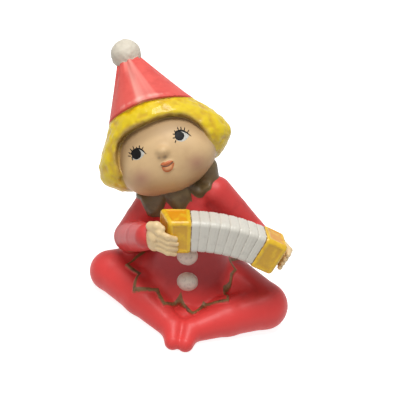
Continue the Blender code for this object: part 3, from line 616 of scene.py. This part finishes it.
# The head: a round doll's face in a bobbed wig, under a cone hat with a pompom, cast in one with the body.
# Its own frame looks out of the face along -Y, with +Z to the crown. The hair's lumps are in the clay.
SKIN = (0.660, 0.450, 0.235)
SKIN_DEEP = (0.590, 0.385, 0.200)
BROW_PAINTED_SHADE = (0.440, 0.290, 0.150)
BLUSH = (0.450, 0.230, 0.150)
NOSE_SHADE = (0.330, 0.240, 0.150)
YELLOW = (0.750, 0.545, 0.003)
YELLOW_DEEP = (0.600, 0.360, 0.006)
YELLOW_BROWN = (0.480, 0.260, 0.014)
FRINGE_TAN = (0.420, 0.260, 0.060)
FRINGE_OLIVE = (0.290, 0.205, 0.022)
HAT_RED = (0.740, 0.105, 0.085)
HAT_DEEP = (0.620, 0.070, 0.060)
HAT_PAINTED_HIGHLIGHT = (0.900, 0.470, 0.400)
POMPOM_WHITE = (0.660, 0.600, 0.490)
POMPOM_GREY = (0.430, 0.370, 0.300)

HEAD_TURN = turn_about(x=-30.0, y=-32.0)
HEAD_ABOVE_NECK = 16.6
HEAD_PLACE = (HEAD_TURN, np.array((SPINE_SHIFT, 0.0, NECK_HEIGHT)) + HEAD_TURN[:, 2] * HEAD_ABOVE_NECK)
HEAD_RADII = (24.3, 20.9, 20.4)
CHEEK_RADII = (12.0, 10.8, 11.0)
FACE_CLAY = (
    ((-11.0, -7.0, -5.3), CHEEK_RADII, 5.0), ((11.0, -7.0, -5.3), CHEEK_RADII, 5.0),
    ((0.0, -8.0, -9.8), (9.0, 9.0, 9.0), 5.0), ((-0.5, -20.4, 0.0), (2.9, 2.9, 2.5), 2.2),
    ((-0.9, -19.3, -5.9), (3.2, 1.7, 1.1), 1.2), ((-1.0, -18.5, -8.3), (2.6, 1.8, 1.5), 1.2),
)
HAIR_SET_BACK = 1.5
HAIR_BACK_SHARE = 0.84
HAIR_FRONT = ((-12.0, 24.0, 0.50), (-10.9, 25.5, 0.50), (-6.3, 30.8, 0.53), (-2.9, 34.3, 0.56),
              (0.0, 35.0, 0.59), (6.0, 33.4, 0.65), (12.0, 29.4, 0.74), (19.2, 23.8, 0.84),
              (22.8, 21.3, 0.85), (24.0, 20.3, 0.84), (30.0, 15.6, 0.82))
CURLS = ((0.45, 4.6, 1), (0.45, 2.6, 2), (0.22, 1.5, 3))
TUFTS = ((0.20, 2.2, 4), (0.16, 1.1, 5))
OPENING_MIDDLE, OPENING_HALF_HEIGHT = -6.5, 22.0
OPENING_FLOOR = 8.5
CROWN_HEIGHT = 24.0
HAT_PLACE = (turn_about(x=-10.0), np.array((0.0, HAIR_SET_BACK, CROWN_HEIGHT)))
HAT_BASE, HAT_TIP, HAT_LENGTH = 20.5, 6.0, 26.0
HAT_FLATNESS = 0.86
RIM_HEIGHT, RIM_DROP = -0.8, 3.7
POMPOM_RADIUS = 7.6
BLUSH_SPOTS, BLUSH_CORE = ((-15.0, -8.0), (12.5, -11.0)), 3.0
NOSE_SHADOW_SPOTS = ((-3.3, -2.2, 0.5), (-0.6, -2.9, 0.9))
HEAD_BOX, HEAD_CELL = ((-38, -26, -25), (38, 34, 65)), 0.5
HAIR_PROFILE_FRONT = eased_rows(HAIR_FRONT, window=9)
HAIR_PROFILE_BACK = HAIR_PROFILE_FRONT.copy()
HAIR_PROFILE_BACK[2] = HAIR_BACK_SHARE


def face_form(x, y, z):
    """The skull, with clay pressed softly onto it in turn: two cheeks, the chin, a button nose and two
    lips."""
    face = clay_ball(x, y, z, (0.0, 0.0, 0.0), HEAD_RADII)
    for middle, radii, seam in FACE_CLAY:
        face = pressed(face, clay_ball(x, y, z, middle, radii), seam)
    return face


def hair_form(x, y, z):
    """A bell of hair, wider behind than in front, with an opening for the face: a rounded oval, squarer
    where the fringe meets the side hair on the figurine's right."""
    behind = y - HAIR_SET_BACK
    front = turned_oval(x, behind, z, HAIR_PROFILE_FRONT)
    back = turned_oval(x, behind, z, HAIR_PROFILE_BACK)
    bell = np.where(behind < 0, front, back)
    bell = trimmed(trimmed(bell, -11.5 - z, 3.5), z - 26.0, 1.0)
    squareness = np.where(x < -0.7, 3.6, 2.7)
    across, tall = np.abs(x + 0.7) / 22.6, np.abs(z - OPENING_MIDDLE) / OPENING_HALF_HEIGHT
    oval = (across**squareness + tall**squareness) ** (1 / squareness)
    opening = (oval - 1) * 20.0
    cavity = trimmed(opening, y + OPENING_FLOOR, 1.0)
    return trimmed(bell, -cavity, 3.0), opening


def hat_form(x, y, z):
    """A straight cone, gathered into soft folds towards its tip, with how far each place is above its rim,
    which drops towards the figurine's left."""
    u, v, w = in_frame(x, y, z, HAT_PLACE)
    v = v / HAT_FLATNESS
    angle = np.arctan2(v, u)
    rise = np.clip(w / HAT_LENGTH, 0, 1)
    folds = 0.45 * np.cos(9 * angle + 0.6) + 0.25 * np.cos(14 * angle + 2.0)
    radius = HAT_BASE - (HAT_BASE - HAT_TIP) * w / HAT_LENGTH + folds * rise**1.5
    growth = math.hypot(1.0, (HAT_BASE - HAT_TIP) / HAT_LENGTH)
    cone = (np.hypot(u, v) - radius) / growth * (0.5 + 0.5 * HAT_FLATNESS)
    cone = trimmed(cone, w - HAT_LENGTH - 2.0, 1.0)
    above_rim = w - RIM_HEIGHT + RIM_DROP * np.clip(u / HAT_BASE, 0, 1)
    return trimmed(cone, -above_rim, 0.8), above_rim


def head_forms(x, y, z):
    """The distance to the whole head, and which form is nearest at each place: hair, hat or pompom, as
    marks that are below zero there."""
    face = face_form(x, y, z)
    hair, opening = hair_form(x, y, z)
    hat, height = hat_form(x, y, z)
    u, v, w = in_frame(x, y, z, HAT_PLACE)
    pompom = clay_ball(u, v, w, (0.0, 0.0, HAT_LENGTH + POMPOM_RADIUS * 0.62), (POMPOM_RADIUS,) * 3)
    whole = pressed(pressed(pressed(face, hair, 0.7), hat, 0.7), pompom, 0.7)
    marks = {"hair": hair - np.minimum(np.minimum(face, hat), pompom),
             "hat": hat - np.minimum(np.minimum(face, hair), pompom),
             "pompom": pompom - np.minimum(hat, np.minimum(face, hair)),
             "fringe": opening, "above_rim": height}
    return whole, marks


points, faces, slopes = clay_skin(head_forms, *HEAD_BOX, HEAD_CELL)
_, marks = head_forms(*points.T)
opening, above_rim = marks.pop("fringe"), marks.pop("above_rim")
in_hair = np.clip(-marks["hair"] / 1.2, 0, 1)
in_pompom = np.clip(-marks["pompom"] / 1.2, 0, 1)
curls, tufts = (sum(height * lumps(points, size, seed) for height, size, seed in rows)
                for rows in (CURLS, TUFTS))
points = points + slopes * (in_hair * (curls * 0.62 - 0.1) + in_pompom * tufts)[:, None]
hollow = -curls * in_hair - 1.6 * tufts * in_pompom

head_paint = Brushwork("head_paint", roughness=0.50, varnish_roughness=0.14)
head_paint.colour = head_paint.shade(SKIN, SKIN_DEEP, head_paint.cloudy(9.0, 0.4, 0.8))
# Painted shade: darker skin on the forehead next to the fringe, where the fringe shades it.
head_paint.coat(BROW_PAINTED_SHADE, head_paint.marked("brow", soft=4.0))
head_paint.coat(BLUSH, head_paint.marked("blush", soft=5.5))
# Painted shadow: two soft dark spots under the nose tip, where it shades the face.
head_paint.coat(NOSE_SHADE, head_paint.marked("nose_shade", soft=0.9))
yellow = head_paint.shade(YELLOW, YELLOW_DEEP, head_paint.marked("deep_hair", soft=0.45))
head_paint.coat(yellow, head_paint.marked("hair", soft=0.15, ragged=0.12))
head_paint.coat(YELLOW_BROWN, head_paint.marked("hair"), head_paint.marked("brown_hair", soft=0.40))
# Tan and olive along the hair's edge round the face: a brown wash, and painted shade under the fringe and on
# the hair's inner wall.
fringe_wash_and_shade = head_paint.shade(FRINGE_TAN, FRINGE_OLIVE, head_paint.cloudy(6.0, 0.45, 0.70))
head_paint.coat(fringe_wash_and_shade, head_paint.marked("hair"), head_paint.marked("fringe_wash_and_shade", soft=1.5))
red = head_paint.shade(HAT_RED, HAT_DEEP, head_paint.cloudy(8.0, 0.4, 0.8))
head_paint.coat(red, head_paint.marked("hat", soft=0.15, ragged=0.10))
# Painted highlight: pale pink streaks down the hat's front left and a pale line above its rim, where a lamp
# would glint.
head_paint.coat(HAT_PAINTED_HIGHLIGHT, head_paint.marked("hat"), head_paint.marked("painted_highlight", soft=0.42))
fluff = head_paint.shade(POMPOM_WHITE, POMPOM_GREY, head_paint.cloudy(3.5, 0.5, 0.95))
head_paint.coat(fluff, head_paint.marked("pompom", soft=0.15, ragged=0.25))
head_paint.varnished(head_paint.times(head_paint.marked("hair"), 0.32))
head_paint.grain(0.35, 0.02, 2.2, 0.05)

blush = [np.hypot(points[:, 0] - across, (points[:, 2] - height) * 1.2) - BLUSH_CORE
         for across, height in BLUSH_SPOTS]
marks["blush"] = np.minimum(*blush)
# Painted shade: darker skin in a band along the edge of the hair, narrowing lower down the face.
marks["brow"] = 0.6 * np.clip(9.0 - points[:, 2], 0, 15) - opening - 7.0
# Painted shadow under the nose: two soft spots below its tip, on the face's front only.
under_nose = [np.hypot(points[:, 0] - across, (points[:, 2] - height) * 1.4) - wide
              for across, height, wide in NOSE_SHADOW_SPOTS]
marks["nose_shade"] = np.where(points[:, 1] < 0, np.minimum(*under_nose), 9.0)
marks["deep_hair"] = 0.25 - hollow - 0.15 * lumps(points, 6.0, 6)
marks["brown_hair"] = 0.92 - hollow - 0.25 * lumps(points, 7.0, 7)
# Brown wash and painted shade: the darker hair lies within about a millimetre of the face opening, on the
# front of the head.
marks["fringe_wash_and_shade"] = np.where(points[:, 1] < -2.0, opening - 1.3 + 0.9 * lumps(points, 3.0, 8), 9.0)
# Painted highlight on the hat: streaks centred on its front left, and a line just above the rim on its front
# half.
hat_u, hat_v, hat_w = in_frame(*points.T, HAT_PLACE)
around = np.degrees(np.arctan2(hat_v, hat_u))
slanted = np.stack([around / 7.0 + hat_w * 0.02, hat_w / 30.0, np.zeros_like(hat_w)], axis=1)
front_left = np.exp(-(((around + 98.0) / 32.0) ** 2))
rim_light = np.exp(-((above_rim - 2.0) ** 2)) * (around < 0)
streaks = front_left * (1 + lumps(slanted, 1.0, 9))
marks["painted_highlight"] = 0.66 - 0.55 * streaks - 0.22 * rim_light * (1 + lumps(slanted, 0.5, 10))
head = fired("head", points, faces, marks, head_paint.done(), HEAD_PLACE)
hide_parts("figurine")

# The painted face: pupils with the white beside them, lid lines, lashes and two lips, each brushed on by
# hand. The dabs lie on the face as thin raised paint, less than a fifth of a millimetre thick.
EYE_BLACK = (0.006, 0.005, 0.005)
EYE_WHITE = (0.560, 0.540, 0.480)
LIP_ORANGE = (0.600, 0.170, 0.060)
LIP_PALE = (0.660, 0.330, 0.150)
PARTING = (0.240, 0.130, 0.080)
PAINT_RIM, PAINT_CROWN, PAINT_ROOT = 0.02, 0.05, 0.15
LASH_WIDTH, LID_WIDTH = 0.46, 0.80
PUPILS = ((-12.74, 3.65, 2.40), (9.55, 3.97, 2.25))
WHITES = (
    ((-13.9, 5.6), (-11.8, 5.9), (-9.9, 4.6), (-9.0, 2.6), (-10.1, 1.5), (-11.5, 0.95), (-13.0, 0.9),
     (-14.8, 1.7), (-15.3, 3.2), (-14.9, 4.6)),
    ((8.6, 6.0), (11.0, 5.95), (12.9, 4.3), (13.7, 2.5), (12.5, 1.5), (10.9, 0.95), (9.3, 1.1), (7.8, 2.1),
     (7.3, 3.5), (7.7, 5.0)),
)
LIDS = (
    ((-15.28, 4.5), (-13.87, 5.89), (-11.77, 6.06), (-9.7, 4.87), (-8.27, 1.85)),
    ((7.66, 5.5), (9.03, 6.47), (11.21, 6.2), (13.08, 4.52), (14.67, 1.9)),
)
LASHES = (
    ((-15.6, 3.89), (-17.0, 4.71)), ((-15.28, 4.93), (-16.02, 6.25)), ((-14.05, 5.71), (-14.79, 7.64)),
    ((-12.82, 5.98), (-13.07, 8.12)), ((-11.63, 5.9), (-11.45, 7.1)), ((-10.45, 5.53), (-9.78, 7.19)),
    ((-9.48, 4.78), (-8.28, 5.62)), ((-15.28, 3.41), (-15.5, 1.61)),
    ((7.84, 5.42), (6.82, 6.04)), ((8.55, 6.15), (8.15, 7.44)), ((10.03, 6.42), (10.22, 8.53)),
    ((11.33, 6.25), (11.74, 8.13)), ((12.44, 5.45), (13.5, 7.21)), ((13.54, 4.14), (14.89, 5.22)),
    ((7.24, 3.93), (6.07, 4.2)), ((7.17, 2.74), (6.25, 1.48)),
)
UPPER_LIP = ((-3.96, -5.6), (-3.3, -5.0), (-2.4, -4.75), (-1.2, -5.2), (-0.15, -5.0), (0.9, -5.1),
             (1.71, -5.5), (2.35, -6.2), (1.57, -6.35), (0.5, -6.8), (-0.54, -7.05), (-2.25, -6.85),
             (-3.61, -5.95))
LOWER_LIP = ((-3.75, -6.5), (-2.25, -7.2), (-0.54, -7.4), (1.3, -6.9), (2.25, -6.7), (2.3, -7.3),
             (1.47, -8.46), (0.3, -9.5), (-1.17, -9.94), (-2.3, -9.75), (-3.19, -9.27), (-3.85, -8.2))
LIP_PARTING = ((-3.9, -5.7), (-2.25, -6.95), (-0.54, -7.2), (1.5, -6.55), (2.3, -6.2))


def rounded_path(corners, count, closed=False):
    """A smooth line through the given corners, as evenly numbered points: between two corners it is the
    cubic that also heeds the corner before and the corner after."""
    corners = np.array(corners, dtype=float)
    spans = len(corners) if closed else len(corners) - 1
    place = np.linspace(0, spans, count, endpoint=not closed)
    first = np.minimum(place.astype(int), spans - 1)
    share = (place - first)[:, None]
    if closed:
        ring = [corners[(first + step) % len(corners)] for step in (-1, 0, 1, 2)]
    else:
        longer = np.vstack([2 * corners[0] - corners[1], corners, 2 * corners[-1] - corners[-2]])
        ring = [longer[first + step] for step in range(4)]
    before, start, end, after = ring
    return 0.5 * (2 * start + (end - before) * share + (2 * before - 5 * start + 4 * end - after) * share**2
                  + (3 * start - before - 3 * end + after) * share**3)


def filled_outline(corners, count=33):
    """A dab of paint inside an outline, as a square net drawn onto a round one and then pulled out to the
    outline, with how far each of its points is from the middle, up to one at the rim."""
    u, v = np.meshgrid(np.linspace(-1, 1, count), np.linspace(-1, 1, count), indexing="ij")
    across, up = u * np.sqrt(1 - v * v / 2), v * np.sqrt(1 - u * u / 2)
    outline = rounded_path(corners, 360, closed=True)
    middle = outline.mean(axis=0)
    turn = np.degrees(np.arctan2(up, across)) % 360
    wrapped = np.vstack([outline, outline[:1]])
    rim = np.stack([np.interp(turn, np.arange(361), wrapped[:, axis]) for axis in (0, 1)], axis=-1)
    share = np.hypot(across, up)
    return middle + (rim - middle) * share[..., None], np.minimum(share, 1)


def brushed_line(corners, width, count=25):
    """A brush stroke along a line, narrowing to both ends, with how far each point is from its middle
    line."""
    line = rounded_path(corners, count)
    along = np.gradient(line, axis=0)
    sideways = np.stack([-along[:, 1], along[:, 0]], axis=1) / np.linalg.norm(along, axis=1)[:, None]
    place = np.linspace(0, 1, count)
    half = width / 2 * np.clip(np.minimum(place * 6 + 0.45, (1 - place) * 2.5 + 0.25), 0, 1)
    side = np.linspace(-1, 1, 7)
    net = line[:, None] + sideways[:, None] * (half[:, None] * side)[..., None]
    return net, np.broadcast_to(np.abs(side), net.shape[:2])


def laid_on_face(nets):
    """Closed dabs of paint on the face, all in one piece: each net of places across and up is set back to
    where it meets the face, once a little in front of it and once a little behind, and the two are joined
    at the rim."""
    points, faces, shares, first = [], [], [], 0
    for net, share in nets:
        across, up = net[..., 0], net[..., 1]
        back = np.full_like(across, -26.0)
        for _ in range(60):
            back = back + 0.8 * face_form(across, back, up)
        lift = PAINT_RIM + PAINT_CROWN * (1 - share**2)
        rows, columns = across.shape
        number = np.arange(rows * columns).reshape(rows, columns) + first
        below = number + rows * columns
        points += [np.stack([across, back - lift, up], -1).reshape(-1, 3),
                   np.stack([across, back + PAINT_ROOT, up], -1).reshape(-1, 3)]
        shares += [share.ravel(), share.ravel()]
        corners = [number[:-1, :-1], number[1:, :-1], number[1:, 1:], number[:-1, 1:]]
        sheet = np.stack(corners, -1).reshape(-1, 4)
        rim = np.concatenate([number[:, 0], number[-1, 1:], number[-2::-1, -1], number[0, -2:0:-1]])
        ahead, under = np.roll(rim, -1), rows * columns
        around = np.stack([rim, rim + under, ahead + under, ahead], axis=-1)
        mesh = np.concatenate([sheet, sheet[:, ::-1] + under, around])
        a, b, c = (np.concatenate(points[-2:])[mesh[:, k] - first] for k in (0, 1, 2))
        facing = np.cross(b - a, c - a)[: len(sheet), 1].sum()
        faces.append(mesh if facing < 0 else mesh[:, ::-1])
        first += 2 * rows * columns
    return np.concatenate(points), np.concatenate(faces), {"from_middle": np.concatenate(shares)}


def face_paint(name, colour, roughness, shine=0.30):
    """A brushed coat of one colour, a little uneven."""
    paint = Brushwork(name, roughness=roughness, varnish=0.0, shine=shine)
    darker = tuple(0.7 * part for part in colour)
    paint.colour = paint.shade(colour, darker, paint.cloudy(1.2, 0.35, 0.75))
    paint.grain(0.25, 0.01)
    return paint


circle = np.linspace(0, 2 * math.pi, 16, endpoint=False)
pupils = [filled_outline(np.stack([x + r * np.cos(circle), z + r * np.sin(circle)], axis=1))
          for x, z, r in PUPILS]
whites = [filled_outline(white) for white in WHITES]
lines = [brushed_line(lid, LID_WIDTH) for lid in LIDS]
lines += [brushed_line(lash, LASH_WIDTH, 13) for lash in LASHES]
lips = face_paint("lip_paint", LIP_ORANGE, 0.40)
pale = wired(lips.tree, "ShaderNodeMapRange", {
    "Value": wired(lips.tree, "ShaderNodeAttribute", attribute_name="from_middle").outputs["Fac"],
    "From Min": 0.85, "From Max": 0.40}).outputs[0]
lips.coat(LIP_PALE, pale, 0.9)
for name, nets, paint, lifted in (
    ("eye_whites", whites, face_paint("eye_white_paint", EYE_WHITE, 0.40), 0.0),
    ("pupils", pupils, face_paint("pupil_paint", EYE_BLACK, 0.45, 0.12), 0.04),
    ("lids_and_lashes", lines, face_paint("lash_paint", EYE_BLACK, 0.55, 0.12), 0.10),
    ("upper_lip", [filled_outline(UPPER_LIP)], face_paint("upper_lip_paint", LIP_ORANGE, 0.40), 0.0),
    ("lower_lip", [filled_outline(LOWER_LIP)], lips, 0.0),
    ("lip_parting", [brushed_line(LIP_PARTING, 0.55)], face_paint("parting_paint", PARTING, 0.50), 0.04),
):
    points, faces, marks = laid_on_face(nets)
    points[:, 1] -= lifted
    dab = fired(name, points, faces, marks, paint.done(), HEAD_PLACE)
    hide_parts("figurine")

# The accordion and the two bare hands that hold it, cast in one with the lap of the figure: a white arched
# bellows of eight pleats between two yellow boxes, whose faces are sunk panels inside raised frames.
BELLOWS_WHITE = (0.670, 0.640, 0.560)
BELLOWS_GREY = (0.520, 0.490, 0.430)
PLEAT_LINE = (0.340, 0.290, 0.230)
BOX_YELLOW = (0.800, 0.500, 0.020)
BOX_ORANGE = (0.720, 0.290, 0.006)
BOX_GOLD = (0.640, 0.350, 0.020)
BOX_EDGE_BROWN = (0.170, 0.080, 0.020)
HAND_SKIN = (0.790, 0.580, 0.310)
HAND_CREASE = (0.470, 0.300, 0.160)

PLEATS = 8
PLEAT_GROOVE = 0.30
PLEAT_LENGTH = 2 * BELLOWS_HALF / PLEATS
BELLOWS_HALF_DEEP, BELLOWS_HALF_TALL = 7.3, 8.2
BOX_HALF_DEEP, BOX_HALF_TALL = 7.8, 8.7
BOX_CORNER = 2.6
BELLOWS_CORNER = 2.4
RIGHT_BOX_SLANT = 0.25
BOX_START = BELLOWS_HALF - 1.0
PANEL_BORDER = 2.3
RIGHT_PANEL_SUNK, LEFT_PANEL_SUNK = 0.60, 0.35
FINGERS = 4
FINGER_STEP = 2.6
FINGER_RADIUS = 1.56
FINGER_LENGTH = 6.9
ACCORDION_BOX, ACCORDION_CELL = ((-43, -12, -22), (42, 12, 14)), 0.34


def along_arch(x, y, z):
    """A place beside the accordion as the distance along its arched axis, back from it and above it."""
    high = z + ARCH_RADIUS
    most = BELLOWS_HALF / ARCH_RADIUS
    angle = np.clip(np.arctan2(x, high), -most, most)
    out = x * np.cos(angle) - high * np.sin(angle)
    return angle * ARCH_RADIUS + out, y, x * np.sin(angle) + high * np.cos(angle) - ARCH_RADIUS


def rounded_bar(back, up, half_deep, half_tall, corner):
    """Distance to an endless bar with rounded corners: the corner's own distance less its radius."""
    out_y, out_z = np.abs(back) - half_deep + corner, np.abs(up) - half_tall + corner
    outside = np.hypot(np.maximum(out_y, 0), np.maximum(out_z, 0))
    return outside + np.minimum(np.maximum(out_y, out_z), 0) - corner


def panel(first, second, half_first, half_second):
    """How far a place is inside a sunk panel, from 0 on the raised frame to 1 on the panel's floor."""
    inside = np.minimum(half_first - PANEL_BORDER - np.abs(first),
                        half_second - PANEL_BORDER - np.abs(second))
    share = np.clip(inside / 1.5 + 0.5, 0, 1)
    return share * share * (3 - 2 * share)


def bellows_form(along, back, up):
    """The bellows: a bar that narrows softly to a fine groove between each two pleats, with two finer
    creases in each pleat."""
    phase = along / PLEAT_LENGTH + 0.5 * PLEATS
    fold = np.abs(phase - np.round(phase)) * PLEAT_LENGTH
    groove = PLEAT_GROOVE * np.exp(-((fold / 0.34) ** 2))
    groove = groove + 0.14 * np.clip(1 - fold / (PLEAT_LENGTH / 2), 0, 1)
    third = np.abs(np.abs(phase - np.floor(phase) - 0.5) - 0.17) * PLEAT_LENGTH
    groove = groove + 0.07 * np.exp(-((third / 0.30) ** 2))
    bar = rounded_bar(back, up, BELLOWS_HALF_DEEP, BELLOWS_HALF_TALL, BELLOWS_CORNER) + groove
    return trimmed(bar, np.abs(along) - BELLOWS_HALF, 0.4), fold


def end_box(along, back, up, side, length, slant, depth):
    """One end box, from its seam with the bellows out to its end, with a sunk panel in each face. A slant
    makes it shorter in front than behind, by that share of its thickness. Also gives how far each place is
    in a panel of the top, and in one of the front or the end."""
    half_long = (length + slant * back) / 2
    middle = side * along - BOX_START - half_long
    bar = rounded_bar(back, up, BOX_HALF_DEEP, BOX_HALF_TALL, BOX_CORNER)
    box = trimmed(bar, np.abs(middle) - half_long, 2.2)
    on_front = panel(middle, up, half_long, BOX_HALF_TALL) * np.clip(np.abs(back) - BOX_HALF_DEEP + 2.2, 0, 1)
    on_top = panel(middle, back, half_long, BOX_HALF_DEEP) * np.clip(np.abs(up) - BOX_HALF_TALL + 2.2, 0, 1)
    on_end = panel(back, up, BOX_HALF_DEEP, BOX_HALF_TALL) * np.clip(middle - half_long + 2.2, 0, 1)
    on_side = np.maximum(on_front, on_end)
    return box + depth * np.maximum(on_top, on_side), on_top, on_side


def fingers(out, back, up, paths):
    """Fingers side by side, each a roll along its own path that thins to its tip, pressed lightly
    together."""
    together = None
    for path in paths:
        radii = [FINGER_RADIUS * share for share in np.linspace(1.15, 0.82, len(path))]
        finger = clay_roll(out, back, up, path, radii, 0.6)
        together = finger if together is None else pressed(together, finger, 0.35)
    return together


def right_hand(along, back, up):
    """The hand that grips its box from the end: the back of the hand beside the box, four fingers laid
    slanting down across the box's front, and the thumb on its upper edge."""
    out = -(along + BELLOWS_HALF + RIGHT_BOX_LENGTH)
    front = -BOX_HALF_DEEP
    hand = clay_ball(out, back, up, (3.2, front + 3.4, -1.0), (4.4, 5.8, 6.8))
    paths = []
    for number in range(FINGERS):
        tip = 0.4 - number * FINGER_STEP
        reach = FINGER_LENGTH - 0.5 * abs(number - 1.3)
        paths.append(((4.4, front + 1.6, tip + 4.4), (1.2, front - 1.5, tip + 3.4),
                      (-2.8, front - 2.3, tip + 1.5), (-reach, front - 0.5, tip - 0.3)))
    hand = pressed(hand, fingers(out, back, up, paths), 0.5)
    thumb_path = ((5.0, front + 3.0, 5.0), (2.4, front + 0.6, 6.3), (0.2, front - 0.4, 5.4))
    thumb = clay_roll(out, back, up, thumb_path, (2.4, 2.2, 1.8), 0.8)
    return pressed(hand, thumb, 0.8)


def left_hand(along, back, up):
    """The hand that holds its box from behind: a palm and four fingers curled round the box's end."""
    out = along - BELLOWS_HALF - LEFT_BOX_LENGTH
    behind = BOX_HALF_DEEP
    hand = clay_ball(out, back, up, (1.0, behind * 0.4, -0.2), (4.8, 5.6, 5.6))
    paths = []
    for number in range(FINGERS):
        height = 4.4 - number * FINGER_STEP
        paths.append(((0.0, behind * 0.7, height), (3.2, behind * 0.1, height),
                      (2.0, -behind * 0.5, height - 0.5)))
    return pressed(hand, fingers(out, back, up, paths), 1.2)


def accordion_forms(x, y, z):
    """The distance to the accordion and hands, with marks that are below zero on the boxes and on the
    hands."""
    along, back, up = along_arch(x, y, z)
    pleats, fold = bellows_form(along, back, up)
    right_box, right_top, right_side = end_box(along, back, up, -1, RIGHT_BOX_LENGTH, RIGHT_BOX_SLANT,
                                               RIGHT_PANEL_SUNK)
    left_box, left_top, left_side = end_box(along, back, up, 1, LEFT_BOX_LENGTH, 0.0, LEFT_PANEL_SUNK)
    boxes = np.minimum(right_box, left_box)
    hands = np.minimum(right_hand(along, back, up), left_hand(along, back, up))
    whole = pressed(pressed(pleats, boxes, 0.35), hands, 0.5)
    marks = {"box": boxes - np.minimum(pleats, hands), "hand": hands - np.minimum(boxes, pleats),
             "fold": fold, "top_panel": 0.5 - np.maximum(right_top, left_top),
             "side_panel": 0.5 - np.maximum(right_side, left_side)}
    return whole, marks


points, faces, slopes = clay_skin(accordion_forms, *ACCORDION_BOX, ACCORDION_CELL)
_, marks = accordion_forms(*points.T)
accordion_paint = Brushwork("accordion_paint", roughness=0.42, varnish=0.30)
white = accordion_paint.shade(BELLOWS_WHITE, BELLOWS_GREY, accordion_paint.cloudy(3.0, 0.5, 0.95))
accordion_paint.colour = white
accordion_paint.coat(
    PLEAT_LINE, accordion_paint.marked("pleat_line", soft=0.16), accordion_paint.cloudy(2.5, 0.2, 0.6))
yellow = accordion_paint.shade(BOX_YELLOW, BOX_GOLD, accordion_paint.cloudy(3.5, 0.42, 0.8))
accordion_paint.coat(yellow, accordion_paint.marked("box", soft=0.12, ragged=0.08))
for colour, sunk, low, high in ((BOX_GOLD, "side_panel", 0.30, 0.60), (BOX_ORANGE, "top_panel", 0.28, 0.55)):
    accordion_paint.coat(colour, accordion_paint.marked("box"), accordion_paint.marked(sunk, soft=0.4),
                         accordion_paint.cloudy(4.0, low, high))
accordion_paint.coat(BOX_EDGE_BROWN, accordion_paint.marked("seam", soft=0.12, ragged=0.1),
                     accordion_paint.cloudy(1.8, 0.25, 0.55))
flesh = accordion_paint.shade(HAND_SKIN, HAND_CREASE, accordion_paint.cloudy(4.0, 0.55, 0.95))
accordion_paint.coat(flesh, accordion_paint.marked("hand", soft=0.12, ragged=0.06))
accordion_paint.grain(0.35, 0.015, 2.0, 0.03)
marks["pleat_line"] = marks.pop("fold") - 0.10
marks["seam"] = np.abs(marks["box"]) - 0.22
accordion = fired("accordion", points, faces, marks, accordion_paint.done(), ACCORDION_PLACE)
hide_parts("figurine")
